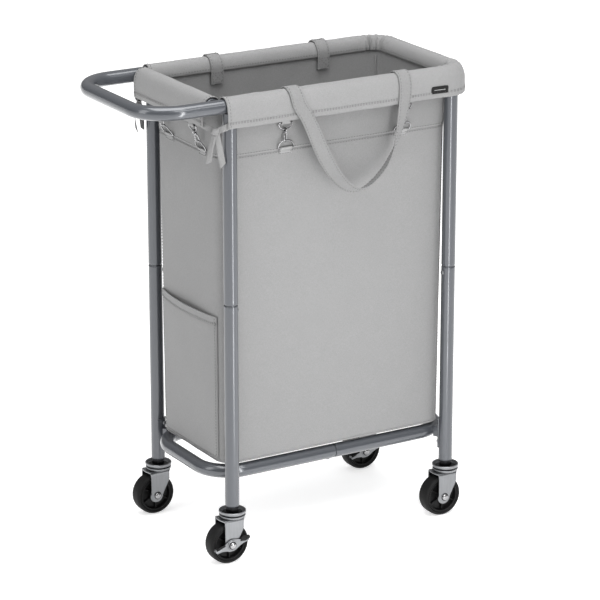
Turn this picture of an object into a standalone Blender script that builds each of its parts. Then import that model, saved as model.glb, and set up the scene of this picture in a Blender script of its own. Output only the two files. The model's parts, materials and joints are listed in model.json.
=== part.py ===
"""Laundry cart: a fabric bag hung in a tube frame on four swivel casters, in metres.

Frame coordinates: X along the long side (the handle is at -X), Y across, Z up from the floor.
Everything hangs on the empty cart_frame, which centres the whole cart's box on the world origin.
"""

import math

import bmesh
import bpy
from mathutils import Vector

# Driving dimensions
TUBE_D = 0.025
TUBE_WALL = 0.0015
GAP = 0.0003
POST_SPAN_X = 0.446
POST_SPAN_Y = 0.274
POST_BOTTOM_Z = 0.103
SEAM_Z = 0.473
RAIL_Z = 0.825
HANDLE_REACH = 0.153
HANDLE_BEND_R = 0.065
RIM_REACH = 0.024
RIM_BEND_R = 0.038
CROSS_BAR_REACH = 0.026
RING_Z = 0.155
RING_INSET_Y = 0.027
RING_REACH_X = 0.020
RING_BEND_R = 0.060
NECK_D = 0.0212
NECK_LENGTH = 0.030
SPIGOT_BOTTOM_Z = 0.785

WHEEL_D = 0.075
WHEEL_WIDTH = 0.028
WHEEL_STEPS = 24
HUB_STEPS = 16
SMALL_STEPS = 12
CASTER_TRAIL = 0.012
FORK_GAP = 0.033
FORK_SHEET = 0.002
FORK_TOP_Z = 0.083
RACE_TOP_Z = 0.0885
RACE_R = 0.024

FABRIC = 0.002
BAG_TOP_X = 0.233
BAG_TOP_Y = 0.1228
BAG_FLOOR_X = 0.229
BAG_FLOOR_Y = 0.1175
BAG_CORNER_R = 0.035
BAG_FLOOR_Z = 0.169
BAG_TOP_Z = 0.8155
FLAP_HEM_DROP = 0.036
FLAP_INNER_DROP = 0.009
FLAP_END_X = -0.2355
POCKET_HALF_Y = 0.104
POCKET_TOP_Z = 0.440
POCKET_DEPTH = 0.009
BOARD_THICKNESS = 0.003

HOOK_CENTRE_X = 0.012
HOOK_HALF_SPAN_X = 0.121
HOOK_HALF_SPAN_Y = 0.063
HOOK_PIVOT_Z = 0.778
HOOK_THICKNESS = 0.003
HOOK_OUT = 0.006
LEFT_HOOK_OUT = 0.0215
LEFT_HOOK_LEAN_DEG = 22.0

STRAP_CENTRE_X = 0.010
STRAP_HALF_SPAN = 0.113
STRAP_WIDTH = 0.025
STRAP_BOTTOM_Z = 0.648
STRAP_TOP_Z = 0.834
STRAP_THICKNESS = 0.0022

STEM_CLEARANCE = 0.0008
STEM_LENGTH = 0.045
STEM_COLLAR = 0.002
NUT_R = 0.0095
DISC_THICKNESS = 0.0045
KINGPIN_R = 0.004
KINGPIN_HEAD_R = 0.0075
KINGPIN_HEAD = 0.002
HOLE_SLACK = 0.0004
FORK_EYE_R = 0.0125
FORK_AHEAD = 0.0125
FORK_NOSE = 0.0215
FORK_NOSE_HALF_Y = 0.010
FORK_BACK = 0.0145
LOWER_RACE_WIDTH = 0.005
TYRE_INNER_R = 0.0300
TYRE_SHOULDER = 0.0050
HUB_BOSS_R = 0.0105
HUB_RIM = 0.0030
HUB_WEB_HALF = 0.0040
HUB_RECESS = 0.0018
AXLE_SHANK_R = 0.0040
AXLE_HEAD_R = 0.0065
LEVER_ARM = 0.034
LEVER_THICKNESS = 0.0022
LEVER_STACK = 0.0032
BOLT_HEAD = 0.0042
LEVER_TILT_DEG = 12.0
SCREW_HEAD_R = 0.004
SCREW_HEAD_HEIGHT = 0.0022
SCREW_DROP = 0.012
BORE_STEP = 0.002
SADDLE_HEIGHT = 0.062
SADDLE_SHEET = 0.0025
SADDLE_WEB = 0.0125
SADDLE_WRAP_DEG = 62
SADDLE_SHOULDER_DEG = 25
SADDLE_BITE = 0.0018
HOOK_EYE_R = 0.0042
HOOK_EYE_HOLE_R = 0.0022
HOOK_LOOP_HALF = 0.0058
HOOK_LOOP_HOLE_R = 0.0036
HOOK_LOOP_Z = -0.029
HOOK_LOOP_TOP_Z = -0.015
HOOK_NECK_HALF = 0.0032
HOOK_NECK_Z = -0.010

# Dimensions that follow
TUBE_R = TUBE_D / 2
POST_X = POST_SPAN_X / 2
POST_Y = POST_SPAN_Y / 2
HANDLE_X = -(POST_X + HANDLE_REACH)
CROSS_BAR_X = -(POST_X + CROSS_BAR_REACH)
RIM_END_X = POST_X + RIM_REACH
RING_X = POST_X + RING_REACH_X
RING_Y = POST_Y - RING_INSET_Y
AXLE_Z = WHEEL_D / 2
FLAP_INNER_R = TUBE_R + 0.0010
FLAP_OUTER_O = 0.0163
FORK_OUTER_Y = FORK_GAP / 2 + FORK_SHEET
STRAP_Y = POST_Y + FLAP_OUTER_O + FABRIC + 0.0016
LOWEST_X = HANDLE_X - TUBE_R
HIGHEST_X = RIM_END_X + FLAP_OUTER_O + FABRIC
LOWEST_Y = -(POST_Y + FORK_OUTER_Y + GAP + LEVER_STACK + BOLT_HEAD)
HIGHEST_Y = POST_Y + RACE_R
FRAME_SHIFT = Vector((-(LOWEST_X + HIGHEST_X) / 2, -(LOWEST_Y + HIGHEST_Y) / 2, 0.0))

CORNERS = {
    "front_left": (-1, -1),
    "front_right": (1, -1),
    "back_left": (-1, 1),
    "back_right": (1, 1),
}
BRAKED_CORNERS = ("front_left", "back_right")


# Scene and materials


def clear_scene():
    for obj in list(bpy.data.objects):
        bpy.data.objects.remove(obj, do_unlink=True)


def make_collection(name):
    collection = bpy.data.collections.new(name)
    bpy.context.scene.collection.children.link(collection)
    return collection


def make_material(name, colour, roughness, metallic):
    material = bpy.data.materials.new(name)
    material.use_nodes = True
    shader = material.node_tree.nodes["Principled BSDF"]
    shader.inputs["Base Color"].default_value = (*colour, 1.0)
    shader.inputs["Roughness"].default_value = roughness
    shader.inputs["Metallic"].default_value = metallic
    material.diffuse_color = (*colour, 1.0)
    return material


clear_scene()
PARTS = make_collection("laundry_cart")
CUTTERS = make_collection("cutters")
PAINTED_STEEL = make_material("grey_painted_steel", (0.17, 0.19, 0.22), 0.35, 0.6)
ZINC = make_material("zinc_plated_steel", (0.55, 0.56, 0.58), 0.3, 1.0)
CHROME = make_material("chromed_zinc", (0.72, 0.72, 0.74), 0.15, 1.0)
FABRIC_GREY = make_material("grey_woven_fabric", (0.42, 0.42, 0.42), 0.9, 0.0)
WEBBING = make_material("grey_webbing", (0.5, 0.5, 0.5), 0.85, 0.0)
BOARD = make_material("stiff_board", (0.3, 0.3, 0.31), 0.8, 0.0)
BLACK_PLASTIC = make_material("black_plastic", (0.02, 0.02, 0.02), 0.45, 0.0)
BLACK_RUBBER = make_material("black_rubber", (0.015, 0.015, 0.015), 0.7, 0.0)

FRAME = bpy.data.objects.new("cart_frame", None)
FRAME.location = FRAME_SHIFT
PARTS.objects.link(FRAME)


def add_object(name, data, material, parent=FRAME, location=(0, 0, 0), rotation=(0, 0, 0)):
    obj = bpy.data.objects.new(name, data)
    obj.parent = parent
    obj.location = location
    obj.rotation_euler = rotation
    if material is not None:
        data.materials.append(material)
    PARTS.objects.link(obj)
    return obj


def make_cutter(obj):
    """Takes an object out of the parts and keeps it as a hidden cutter."""
    PARTS.objects.unlink(obj)
    CUTTERS.objects.link(obj)
    obj.hide_render = True
    obj.display_type = "WIRE"
    return obj


def smooth_mesh(mesh, angle_deg=40):
    mesh.shade_smooth()
    mesh.set_sharp_from_angle(angle=math.radians(angle_deg))


def to_mesh_object(obj):
    """Swaps a curve for a welded mesh of the same name, place and parent."""
    bpy.context.view_layer.update()
    graph = bpy.context.evaluated_depsgraph_get()
    mesh = bpy.data.meshes.new_from_object(obj.evaluated_get(graph))
    work = bmesh.new()
    work.from_mesh(mesh)
    bmesh.ops.remove_doubles(work, verts=work.verts, dist=1e-6)
    work.to_mesh(mesh)
    work.free()
    name = obj.name
    parent = obj.parent
    location = obj.location.copy()
    rotation = obj.rotation_euler.copy()
    bpy.data.objects.remove(obj, do_unlink=True)
    return add_object(name, mesh, None, parent, location, rotation)


def combine(target, tool, operation):
    """Keeps tool as a hidden cutter and adds an exact Boolean for it to target."""
    make_cutter(tool)
    boolean = target.modifiers.new(operation.lower() + "_" + tool.name, "BOOLEAN")
    boolean.operation = operation
    boolean.solver = "EXACT"
    boolean.object = tool
    return target


# Shapes


def rounded_path(corners, segments=4):
    """Points of a path through corners, each (point, bend radius), with every bend as an arc."""
    points = []
    last = len(corners) - 1
    for index, (corner, radius) in enumerate(corners):
        corner = Vector(corner)
        if index in (0, last) or radius == 0:
            points.append(corner)
            continue
        before = (Vector(corners[index - 1][0]) - corner).normalized()
        after = (Vector(corners[index + 1][0]) - corner).normalized()
        half = before.angle(after) / 2
        reach = radius / math.tan(half)
        centre = corner + (before + after).normalized() * (radius / math.sin(half))
        start = corner + before * reach - centre
        end = corner + after * reach - centre
        turn = start.angle(end)
        for step in range(segments + 1):
            part = step / segments
            blend = start * math.sin((1 - part) * turn) + end * math.sin(part * turn)
            points.append(centre + blend / math.sin(turn))
    return points


def tube(name, points, diameter, wall, material, radii=None):
    """A hollow round tube along points; radii scales its diameter at each point."""
    curve = bpy.data.curves.new(name, "CURVE")
    curve.dimensions = "3D"
    curve.bevel_depth = diameter / 2
    curve.bevel_resolution = 3
    curve.use_fill_caps = wall is None
    spline = curve.splines.new("POLY")
    spline.points.add(len(points) - 1)
    for index, point in enumerate(points):
        spline.points[index].co = (*point, 1.0)
        spline.points[index].radius = radii[index] if radii else 1.0
    spline.use_smooth = True
    obj = add_object(name, curve, material)
    if wall is not None:
        shell = obj.modifiers.new("wall", "SOLIDIFY")
        shell.thickness = wall
        shell.offset = -1
    return obj


def turned(name, profile, steps, material, closed=False, **place):
    """A solid of revolution about Z from (radius, z) points that run down its outer side."""
    mesh = bpy.data.meshes.new(name)
    verts = [(radius, 0.0, z) for radius, z in profile]
    edges = [(i, i + 1) for i in range(len(verts) - 1)]
    if closed:
        edges.append((len(verts) - 1, 0))
    mesh.from_pydata(verts, edges, [])
    obj = add_object(name, mesh, material, **place)
    screw = obj.modifiers.new("turn", "SCREW")
    screw.axis = "Z"
    screw.steps = steps
    screw.render_steps = steps
    screw.use_merge_vertices = True
    screw.merge_threshold = 0.00001
    screw.use_smooth_shade = True
    return obj


def plate(name, outline, thickness, material, holes=(), **place):
    """A flat outline in the object's XY plane, thickened evenly about it."""
    curve = bpy.data.curves.new(name, "CURVE")
    curve.dimensions = "2D"
    curve.fill_mode = "BOTH"
    curve.extrude = thickness / 2
    for loop in (outline, *holes):
        spline = curve.splines.new("POLY")
        spline.points.add(len(loop) - 1)
        spline.use_cyclic_u = True
        for index, point in enumerate(loop):
            spline.points[index].co = (point[0], point[1], 0.0, 1.0)
    return add_object(name, curve, material, **place)


def arc(centre, radius, start_deg, end_deg, segments):
    """Points on a flat arc, both ends included."""
    points = []
    for step in range(segments + 1):
        angle = math.radians(start_deg + (end_deg - start_deg) * step / segments)
        points.append((centre[0] + radius * math.cos(angle), centre[1] + radius * math.sin(angle)))
    return points


def rounded_rectangle(half_x, half_y, radius, segments=4):
    points = []
    for sign_x, sign_y, start in ((1, 1, 0), (-1, 1, 90), (-1, -1, 180), (1, -1, 270)):
        centre = (sign_x * (half_x - radius), sign_y * (half_y - radius))
        points += arc(centre, radius, start, start + 90, segments)
    return points


def sheet_shell(name, rows, thickness, material, closed_rows=False, floor=False, offset=-1):
    """A surface through rows of points, thickened; floor closes the first row."""
    mesh = bpy.data.meshes.new(name)
    verts = [tuple(point) for row in rows for point in row]
    width = len(rows[0])
    faces = []
    for row in range(len(rows) - 1):
        for column in range(width if closed_rows else width - 1):
            after = (column + 1) % width
            here = row * width
            above = here + width
            faces.append((here + column, here + after, above + after, above + column))
    if floor:
        faces.append(tuple(reversed(range(width))))
    mesh.from_pydata(verts, [], faces)
    smooth_mesh(mesh)
    obj = add_object(name, mesh, material)
    shell = obj.modifiers.new("fabric", "SOLIDIFY")
    shell.thickness = thickness
    shell.offset = offset
    shell.use_even_offset = True
    return obj


# Tube frame


def necked(points, end_index):
    """Adds a narrower neck, which pushes into the next tube, past the end at end_index."""
    end = points[end_index]
    inner = points[1] if end_index == 0 else points[-2]
    along = (end - inner).normalized()
    neck = [end + along * GAP, end + along * NECK_LENGTH]
    if end_index == 0:
        return neck[::-1] + points
    return points + neck


def half_frame(name, side, reach_x, half_y, height, bend_r, neck_r=None):
    """One U of tube, open at X = 0, with a neck on both ends where neck_r is given."""
    open_x = 0.0 if neck_r is None else side * GAP * 2
    corners = [
        ((open_x, -half_y, height), 0),
        ((side * reach_x, -half_y, height), bend_r),
        ((side * reach_x, half_y, height), bend_r),
        ((open_x, half_y, height), 0),
    ]
    points = rounded_path(corners)
    radii = [1.0] * len(points)
    if neck_r is not None:
        points = necked(necked(points, 0), -1)
        radii = [neck_r, neck_r] + radii + [neck_r, neck_r]
    return tube(name, points, TUBE_D, TUBE_WALL, PAINTED_STEEL, radii)


def spigot(name, post_x, post_y):
    """A short tube that stands down from a rail and fills the top of a post."""
    outer = NECK_D / 2
    inner = outer - TUBE_WALL
    top = RAIL_Z - TUBE_R * 0.93
    profile = [(inner, top), (outer, top), (outer, SPIGOT_BOTTOM_Z), (inner, SPIGOT_BOTTOM_Z)]
    return turned(name, profile, SMALL_STEPS, None, closed=True, location=(post_x, post_y, 0))


def add_spigots(rail, side):
    rail = to_mesh_object(rail)
    for sign in (-1, 1):
        stub = spigot(f"{rail.name}_spigot_{'front' if sign < 0 else 'back'}", side * POST_X, sign * POST_Y)
        combine(rail, to_mesh_object(stub), "UNION")
    return rail


def build_top_frame():
    neck = NECK_D / TUBE_D
    handle = half_frame("handle_rail", -1, -HANDLE_X, POST_Y, RAIL_Z, HANDLE_BEND_R, neck)
    add_spigots(handle, -1)
    rim = half_frame("rim_rail", 1, RIM_END_X, POST_Y, RAIL_Z, RIM_BEND_R)
    add_spigots(rim, 1)
    ends = [Vector((CROSS_BAR_X, sign * (POST_Y - 0.002), RAIL_Z)) for sign in (-1, 1)]
    bar = to_mesh_object(tube("cross_bar", ends, TUBE_D, TUBE_WALL, PAINTED_STEEL))
    for sign in (-1, 1):
        leg = [Vector((CROSS_BAR_X + along, sign * POST_Y, RAIL_Z)) for along in (-0.03, 0.03)]
        cope = tube(f"cope_{'front' if sign < 0 else 'back'}", leg, TUBE_D + 2 * GAP, None, None)
        combine(bar, to_mesh_object(cope), "DIFFERENCE")


def build_lower_ring():
    neck = NECK_D / TUBE_D
    half_frame("lower_ring_left", -1, RING_X, RING_Y, RING_Z, RING_BEND_R, neck)
    half_frame("lower_ring_right", 1, RING_X, RING_Y, RING_Z, RING_BEND_R)
    for side, sign in (("front", -1), ("back", 1)):
        top = RING_Z - TUBE_R - GAP
        profile = [(0, top), (SCREW_HEAD_R, top), (SCREW_HEAD_R * 0.8, top - 0.002), (0, top - 0.0024)]
        turned(f"ring_screw_{side}", profile, SMALL_STEPS, ZINC, location=(-0.012, sign * RING_Y, 0))


def build_post(corner, sign_x, sign_y):
    place = {"location": (sign_x * POST_X, sign_y * POST_Y, 0)}
    bore = TUBE_R - TUBE_WALL
    neck_outer = NECK_D / 2
    neck_top = SEAM_Z + NECK_LENGTH
    rail_bottom = RAIL_Z - TUBE_R - GAP
    upper = [
        (bore, rail_bottom),
        (TUBE_R, rail_bottom),
        (TUBE_R, SEAM_Z + GAP),
        (bore, SEAM_Z + GAP),
    ]
    turned(f"upper_post_{corner}", upper, SMALL_STEPS, PAINTED_STEEL, closed=True, **place)
    lower = [
        (neck_outer - TUBE_WALL, neck_top),
        (neck_outer, neck_top),
        (neck_outer, SEAM_Z),
        (TUBE_R, SEAM_Z - GAP),
        (TUBE_R, POST_BOTTOM_Z),
        (bore, POST_BOTTOM_Z),
        (bore, SEAM_Z - 2 * BORE_STEP),
        (neck_outer - TUBE_WALL, SEAM_Z - BORE_STEP),
    ]
    turned(f"lower_post_{corner}", lower, SMALL_STEPS, PAINTED_STEEL, closed=True, **place)
    crown = [(0, SCREW_HEAD_HEIGHT), (SCREW_HEAD_R * 0.7, SCREW_HEAD_HEIGHT - 0.0002)]
    head = [*crown, (SCREW_HEAD_R, 0.0008), (SCREW_HEAD_R, 0), (0, 0)]
    turned(
        f"post_screw_{corner}",
        head,
        SMALL_STEPS,
        ZINC,
        location=(sign_x * (POST_X - TUBE_R - GAP), sign_y * POST_Y, SEAM_Z - SCREW_DROP),
        rotation=(0, -sign_x * math.pi / 2, 0),
    )


def build_saddle(corner, sign_x, sign_y):
    """A bracket that hugs the post and is notched round the ring tube."""
    centre = Vector((sign_x * POST_X, sign_y * POST_Y, RING_Z))
    bend_centre = Vector((sign_x * (RING_X - RING_BEND_R), sign_y * (RING_Y - RING_BEND_R), RING_Z))
    inward = bend_centre - centre
    facing = math.degrees(math.atan2(inward.y, inward.x))
    inner = TUBE_R + GAP * 1.5
    outer = inner + SADDLE_SHEET
    reach = inward.length - RING_BEND_R - TUBE_R + SADDLE_BITE
    outline = arc((0, 0), inner / math.cos(math.pi / 16), -SADDLE_WRAP_DEG, SADDLE_WRAP_DEG, 8)
    outline += arc((0, 0), outer, SADDLE_WRAP_DEG, SADDLE_SHOULDER_DEG, 3)
    outline += [(reach, SADDLE_WEB / 2), (reach, -SADDLE_WEB / 2)]
    outline += arc((0, 0), outer, -SADDLE_SHOULDER_DEG, -SADDLE_WRAP_DEG, 3)
    saddle = plate(
        f"ring_saddle_{corner}",
        outline,
        SADDLE_HEIGHT,
        PAINTED_STEEL,
        location=centre,
        rotation=(0, 0, math.radians(facing)),
    )
    saddle = to_mesh_object(saddle)
    path = rounded_path(
        [
            ((sign_x * (RING_X - 0.12), sign_y * RING_Y, RING_Z), 0),
            ((sign_x * RING_X, sign_y * RING_Y, RING_Z), RING_BEND_R),
            ((sign_x * RING_X, sign_y * (RING_Y - 0.09), RING_Z), 0),
        ]
    )
    notch = tube(f"notch_{corner}", path, TUBE_D + 4 * GAP, None, None)
    combine(saddle, to_mesh_object(notch), "DIFFERENCE")


# Casters


def build_caster_mount(corner, parent):
    """Stem, nut, upper race and kingpin: all that stays still on the post."""
    stem_r = TUBE_R - TUBE_WALL - STEM_CLEARANCE
    disc_top = RACE_TOP_Z + DISC_THICKNESS
    disc_bottom = RACE_TOP_Z + 0.0008
    head_top = FORK_TOP_Z - 0.0032
    head_bottom = head_top - KINGPIN_HEAD
    profile = [
        (0, POST_BOTTOM_Z + STEM_LENGTH),
        (stem_r - 0.001, POST_BOTTOM_Z + STEM_LENGTH),
        (stem_r, POST_BOTTOM_Z + STEM_LENGTH - 0.003),
        (stem_r, POST_BOTTOM_Z - GAP),
        (TUBE_R - 0.001, POST_BOTTOM_Z - GAP),
        (TUBE_R - 0.001, POST_BOTTOM_Z - STEM_COLLAR),
        (NUT_R, POST_BOTTOM_Z - STEM_COLLAR),
        (NUT_R, disc_top),
        (RACE_R - 0.002, disc_top),
        (RACE_R, disc_top - 0.0015),
        (RACE_R, disc_bottom),
        (KINGPIN_R, disc_bottom),
        (KINGPIN_R, head_top),
        (KINGPIN_HEAD_R, head_top),
        (KINGPIN_HEAD_R - 0.0015, head_bottom),
        (0, head_bottom),
    ]
    turned(f"caster_mount_{corner}", profile, SMALL_STEPS, ZINC, parent=parent)


def fork_leg(name, side, parent):
    """One tapered leg, rounded under the axle, standing in the XZ plane."""
    back = CASTER_TRAIL + FORK_BACK
    outline = [
        (FORK_AHEAD, FORK_TOP_Z),
        (-back, FORK_TOP_Z),
        (-back, AXLE_Z),
    ]
    outline += arc((-CASTER_TRAIL - 0.002, AXLE_Z), FORK_EYE_R, 180, 345, 6)
    outline += [(0.0085, FORK_TOP_Z - 0.018)]
    return plate(
        name,
        outline,
        FORK_SHEET,
        None,
        parent=parent,
        location=(0, side * (FORK_GAP / 2 + FORK_SHEET / 2), 0),
        rotation=(math.pi / 2, 0, 0),
        holes=(arc((-CASTER_TRAIL, AXLE_Z), AXLE_SHANK_R + HOLE_SLACK, 0, 330, 11),),
    )


def build_fork(corner, parent):
    outer = FORK_OUTER_Y
    plate_outline = [
        (-CASTER_TRAIL - FORK_BACK, -outer),
        (FORK_AHEAD, -outer),
        (FORK_NOSE, -FORK_NOSE_HALF_Y),
        (FORK_NOSE, FORK_NOSE_HALF_Y),
        (FORK_AHEAD, outer),
        (-CASTER_TRAIL - FORK_BACK, outer),
    ]
    top = plate(
        f"fork_{corner}",
        plate_outline,
        FORK_SHEET + 2 * GAP,
        ZINC,
        parent=parent,
        location=(0, 0, FORK_TOP_Z - FORK_SHEET / 2 - GAP),
        holes=(arc((0, 0), KINGPIN_R + 0.0006, 0, 330, 11),),
    )
    top = to_mesh_object(top)
    for label, side in (("front", -1), ("back", 1)):
        leg = fork_leg(f"fork_leg_{label}_{corner}", side, parent)
        combine(top, to_mesh_object(leg), "UNION")
    race_outer = RACE_R - 0.001
    race_inner = race_outer - LOWER_RACE_WIDTH
    race_foot = FORK_TOP_Z - 0.001
    race = [
        (race_inner, RACE_TOP_Z),
        (race_outer, RACE_TOP_Z),
        (race_outer, race_foot),
        (race_inner, race_foot),
    ]
    cup = turned(f"lower_race_{corner}", race, SMALL_STEPS, None, closed=True, parent=parent)
    combine(top, to_mesh_object(cup), "UNION")


def build_wheel(corner, parent):
    """Tyre and hub, turned about the axle, with one tread facet square to the floor."""
    centre = (-CASTER_TRAIL, 0, AXLE_Z)
    facet_turn = math.pi / WHEEL_STEPS
    place = {"parent": parent, "location": centre, "rotation": (math.pi / 2, facet_turn, 0)}
    tread_r = AXLE_Z / math.cos(math.pi / WHEEL_STEPS)
    half = WHEEL_WIDTH / 2
    tyre = [
        (TYRE_INNER_R, half - 0.0015),
        (tread_r - TYRE_SHOULDER, half),
        (tread_r, half - TYRE_SHOULDER + 0.0005),
        (tread_r, -half + TYRE_SHOULDER - 0.0005),
        (tread_r - TYRE_SHOULDER, -half),
        (TYRE_INNER_R, -half + 0.0015),
    ]
    turned(f"tyre_{corner}", tyre, WHEEL_STEPS, BLACK_RUBBER, closed=True, **place)
    rim_r = TYRE_INNER_R - GAP
    bore = AXLE_SHANK_R + 0.0006
    hub = [
        (bore, half),
        (HUB_BOSS_R, half),
        (HUB_BOSS_R + 0.001, HUB_WEB_HALF),
        (rim_r - HUB_RIM, HUB_WEB_HALF),
        (rim_r - HUB_RIM, half - HUB_RECESS),
        (rim_r, half - HUB_RECESS),
        (rim_r, -half + HUB_RECESS),
        (rim_r - HUB_RIM, -half + HUB_RECESS),
        (rim_r - HUB_RIM, -HUB_WEB_HALF),
        (HUB_BOSS_R + 0.001, -HUB_WEB_HALF),
        (HUB_BOSS_R, -half),
        (bore, -half),
    ]
    turned(f"wheel_hub_{corner}", hub, HUB_STEPS, BLACK_PLASTIC, closed=True, **place)


def build_axle(corner, parent, braked):
    """A bolt with its head in front; a braked wheel's is longer, to carry the lever."""
    front = FORK_OUTER_Y + GAP + (LEVER_STACK if braked else 0)
    back = FORK_OUTER_Y + GAP
    profile = [
        (0, front + BOLT_HEAD),
        (AXLE_HEAD_R - 0.002, front + BOLT_HEAD - 0.0002),
        (AXLE_HEAD_R, front + BOLT_HEAD * 2 / 3),
        (AXLE_HEAD_R, front),
        (AXLE_SHANK_R, front),
        (AXLE_SHANK_R, -back),
        (AXLE_HEAD_R, -back),
        (AXLE_HEAD_R, -back - BOLT_HEAD * 5 / 6),
        (0, -back - BOLT_HEAD),
    ]
    turned(
        f"axle_{corner}",
        profile,
        SMALL_STEPS,
        ZINC,
        parent=parent,
        location=(-CASTER_TRAIL, 0, AXLE_Z),
        rotation=(math.pi / 2, 0, 0),
    )


def build_brake_lever(corner, parent):
    """A two-armed lever on the axle, outside the front leg of the fork."""
    outline = [
        (-LEVER_ARM, -0.0035),
        (-0.021, -0.0060),
        (-0.009, -0.0115),
        (0.006, -0.0115),
        (0.020, -0.0050),
        (LEVER_ARM, -0.0030),
        (LEVER_ARM + 0.001, 0.0030),
        (0.019, 0.0070),
        (0.008, 0.0100),
        (-0.008, 0.0100),
        (-0.020, 0.0045),
        (-LEVER_ARM, 0.0030),
    ]
    plate(
        f"brake_lever_{corner}",
        outline,
        LEVER_THICKNESS,
        ZINC,
        holes=(arc((0, 0), AXLE_SHANK_R + HOLE_SLACK, 0, 330, 11),),
        parent=parent,
        location=(-CASTER_TRAIL, -(FORK_OUTER_Y + GAP * 2 + LEVER_THICKNESS / 2), AXLE_Z),
        rotation=(math.pi / 2, -math.radians(LEVER_TILT_DEG), 0),
    )


def build_caster(corner, sign_x, sign_y):
    swivel = bpy.data.objects.new(f"swivel_axis_{corner}", None)
    swivel.parent = FRAME
    swivel.location = (sign_x * POST_X, sign_y * POST_Y, 0)
    PARTS.objects.link(swivel)
    braked = corner in BRAKED_CORNERS
    build_caster_mount(corner, swivel)
    build_fork(corner, swivel)
    build_wheel(corner, swivel)
    build_axle(corner, swivel, braked)
    if braked:
        build_brake_lever(corner, swivel)


# Bag


def build_bag_body():
    """The open-topped bag: its floor lies just over the ring and its top is inside the rim."""
    rows = []
    for height, part in ((BAG_FLOOR_Z, 0.0), (BAG_FLOOR_Z + 0.006, 0.0), (0.45, 0.5), (BAG_TOP_Z, 1.0)):
        half_x = BAG_FLOOR_X + (BAG_TOP_X - BAG_FLOOR_X) * part
        half_y = BAG_FLOOR_Y + (BAG_TOP_Y - BAG_FLOOR_Y) * part
        inset = 0.003 if height == BAG_FLOOR_Z else 0.0
        outline = rounded_rectangle(half_x - inset, half_y - inset, BAG_CORNER_R)
        rows.append([(x, y, height) for x, y in outline])
    sheet_shell("bag_body", rows, FABRIC, FABRIC_GREY, closed_rows=True, floor=True)
    inset = 0.006
    outline = rounded_rectangle(BAG_FLOOR_X - inset, BAG_FLOOR_Y - inset, BAG_CORNER_R - 0.004)
    middle = BAG_FLOOR_Z + FABRIC + GAP + BOARD_THICKNESS / 2
    plate("base_board", outline, BOARD_THICKNESS, BOARD, location=(0, 0, middle))


def flap_section():
    """(outward, up) points from the rail's centre: up the inside, over the tube, down to the hem."""
    section = [(-FLAP_INNER_R, -FLAP_INNER_DROP)]
    section += [(-r, z) for r, z in arc((0, 0), FLAP_INNER_R, 0, 150, 5)]
    section += [(FLAP_OUTER_O, -0.012), (FLAP_OUTER_O, -FLAP_HEM_DROP)]
    return section


def sweep_flap(name, path):
    """Sweeps the flap's section along path, points on the rail with an outward direction each."""
    rows = []
    for outward, up in flap_section():
        rows.append([(x + outward * nx, y + outward * ny, RAIL_Z + up) for x, y, nx, ny in path])
    return sheet_shell(name, rows, FABRIC, FABRIC_GREY)


def build_flaps():
    """The long flap over the front, right and back rails, and the short one over the cross bar."""
    path = [(FLAP_END_X, -POST_Y, 0, -1), (-POST_X / 2, -POST_Y, 0, -1), (POST_X / 2, -POST_Y, 0, -1)]
    centre_x = RIM_END_X - RIM_BEND_R
    centre_y = POST_Y - RIM_BEND_R
    for sign, start in ((-1, -90), (1, 0)):
        for nx, ny in arc((0, 0), 1.0, start, start + 90, 6):
            path.append((centre_x + RIM_BEND_R * nx, sign * centre_y + RIM_BEND_R * ny, nx, ny))
    path += [(POST_X / 2, POST_Y, 0, 1), (-POST_X / 2, POST_Y, 0, 1), (FLAP_END_X, POST_Y, 0, 1)]
    sweep_flap("rim_flap", path)
    half = POST_Y - FLAP_INNER_R - FABRIC - 0.0008
    sweep_flap("left_flap", [(CROSS_BAR_X, half, -1, 0), (CROSS_BAR_X, -half, -1, 0)])


def build_pocket():
    """A pocket panel on the handle end of the bag, with its sides and floor turned in to the bag."""
    wall_x = -(BAG_FLOOR_X + 0.0018)
    outer_x = wall_x - POCKET_DEPTH
    floor_z = BAG_FLOOR_Z + 0.006
    section = [(wall_x, -POCKET_HALF_Y), (outer_x, -POCKET_HALF_Y + 0.004)]
    section += [(outer_x, POCKET_HALF_Y - 0.004), (wall_x, POCKET_HALF_Y)]
    rows = [[(x, y, height) for x, y in section] for height in (floor_z, POCKET_TOP_Z)]
    sheet_shell("side_pocket", rows, FABRIC, FABRIC_GREY, floor=True, offset=1)


def build_carry_strap(side, sign):
    """A webbing loop that hangs outside the flap from two crossings on the rim."""
    drop = STRAP_TOP_Z - STRAP_BOTTOM_Z
    levels = 8
    middle = []
    for step in range(-levels, levels + 1):
        part = 1 - (abs(step) / levels) ** 1.6
        bend = math.sqrt(max(0.0, 1 - part**2.2))
        half = STRAP_HALF_SPAN * (0.25 * (1 - part) + 0.75 * bend)
        middle.append(Vector(((1 if step > 0 else -1) * half if step else 0.0, -drop * part)))
    left, right = [], []
    for index, point in enumerate(middle):
        before = middle[max(index - 1, 0)]
        after = middle[min(index + 1, len(middle) - 1)]
        along = (after - before).normalized()
        across = Vector((-along.y, along.x)) * STRAP_WIDTH / 2
        left.append(point + across)
        right.append(point - across)
    plate(
        f"carry_strap_{side}",
        left + right[::-1],
        STRAP_THICKNESS,
        WEBBING,
        location=(STRAP_CENTRE_X, sign * (STRAP_Y + STRAP_THICKNESS / 2), STRAP_TOP_Z),
        rotation=(math.pi / 2, 0, 0),
    )


# Snap hooks


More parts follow.
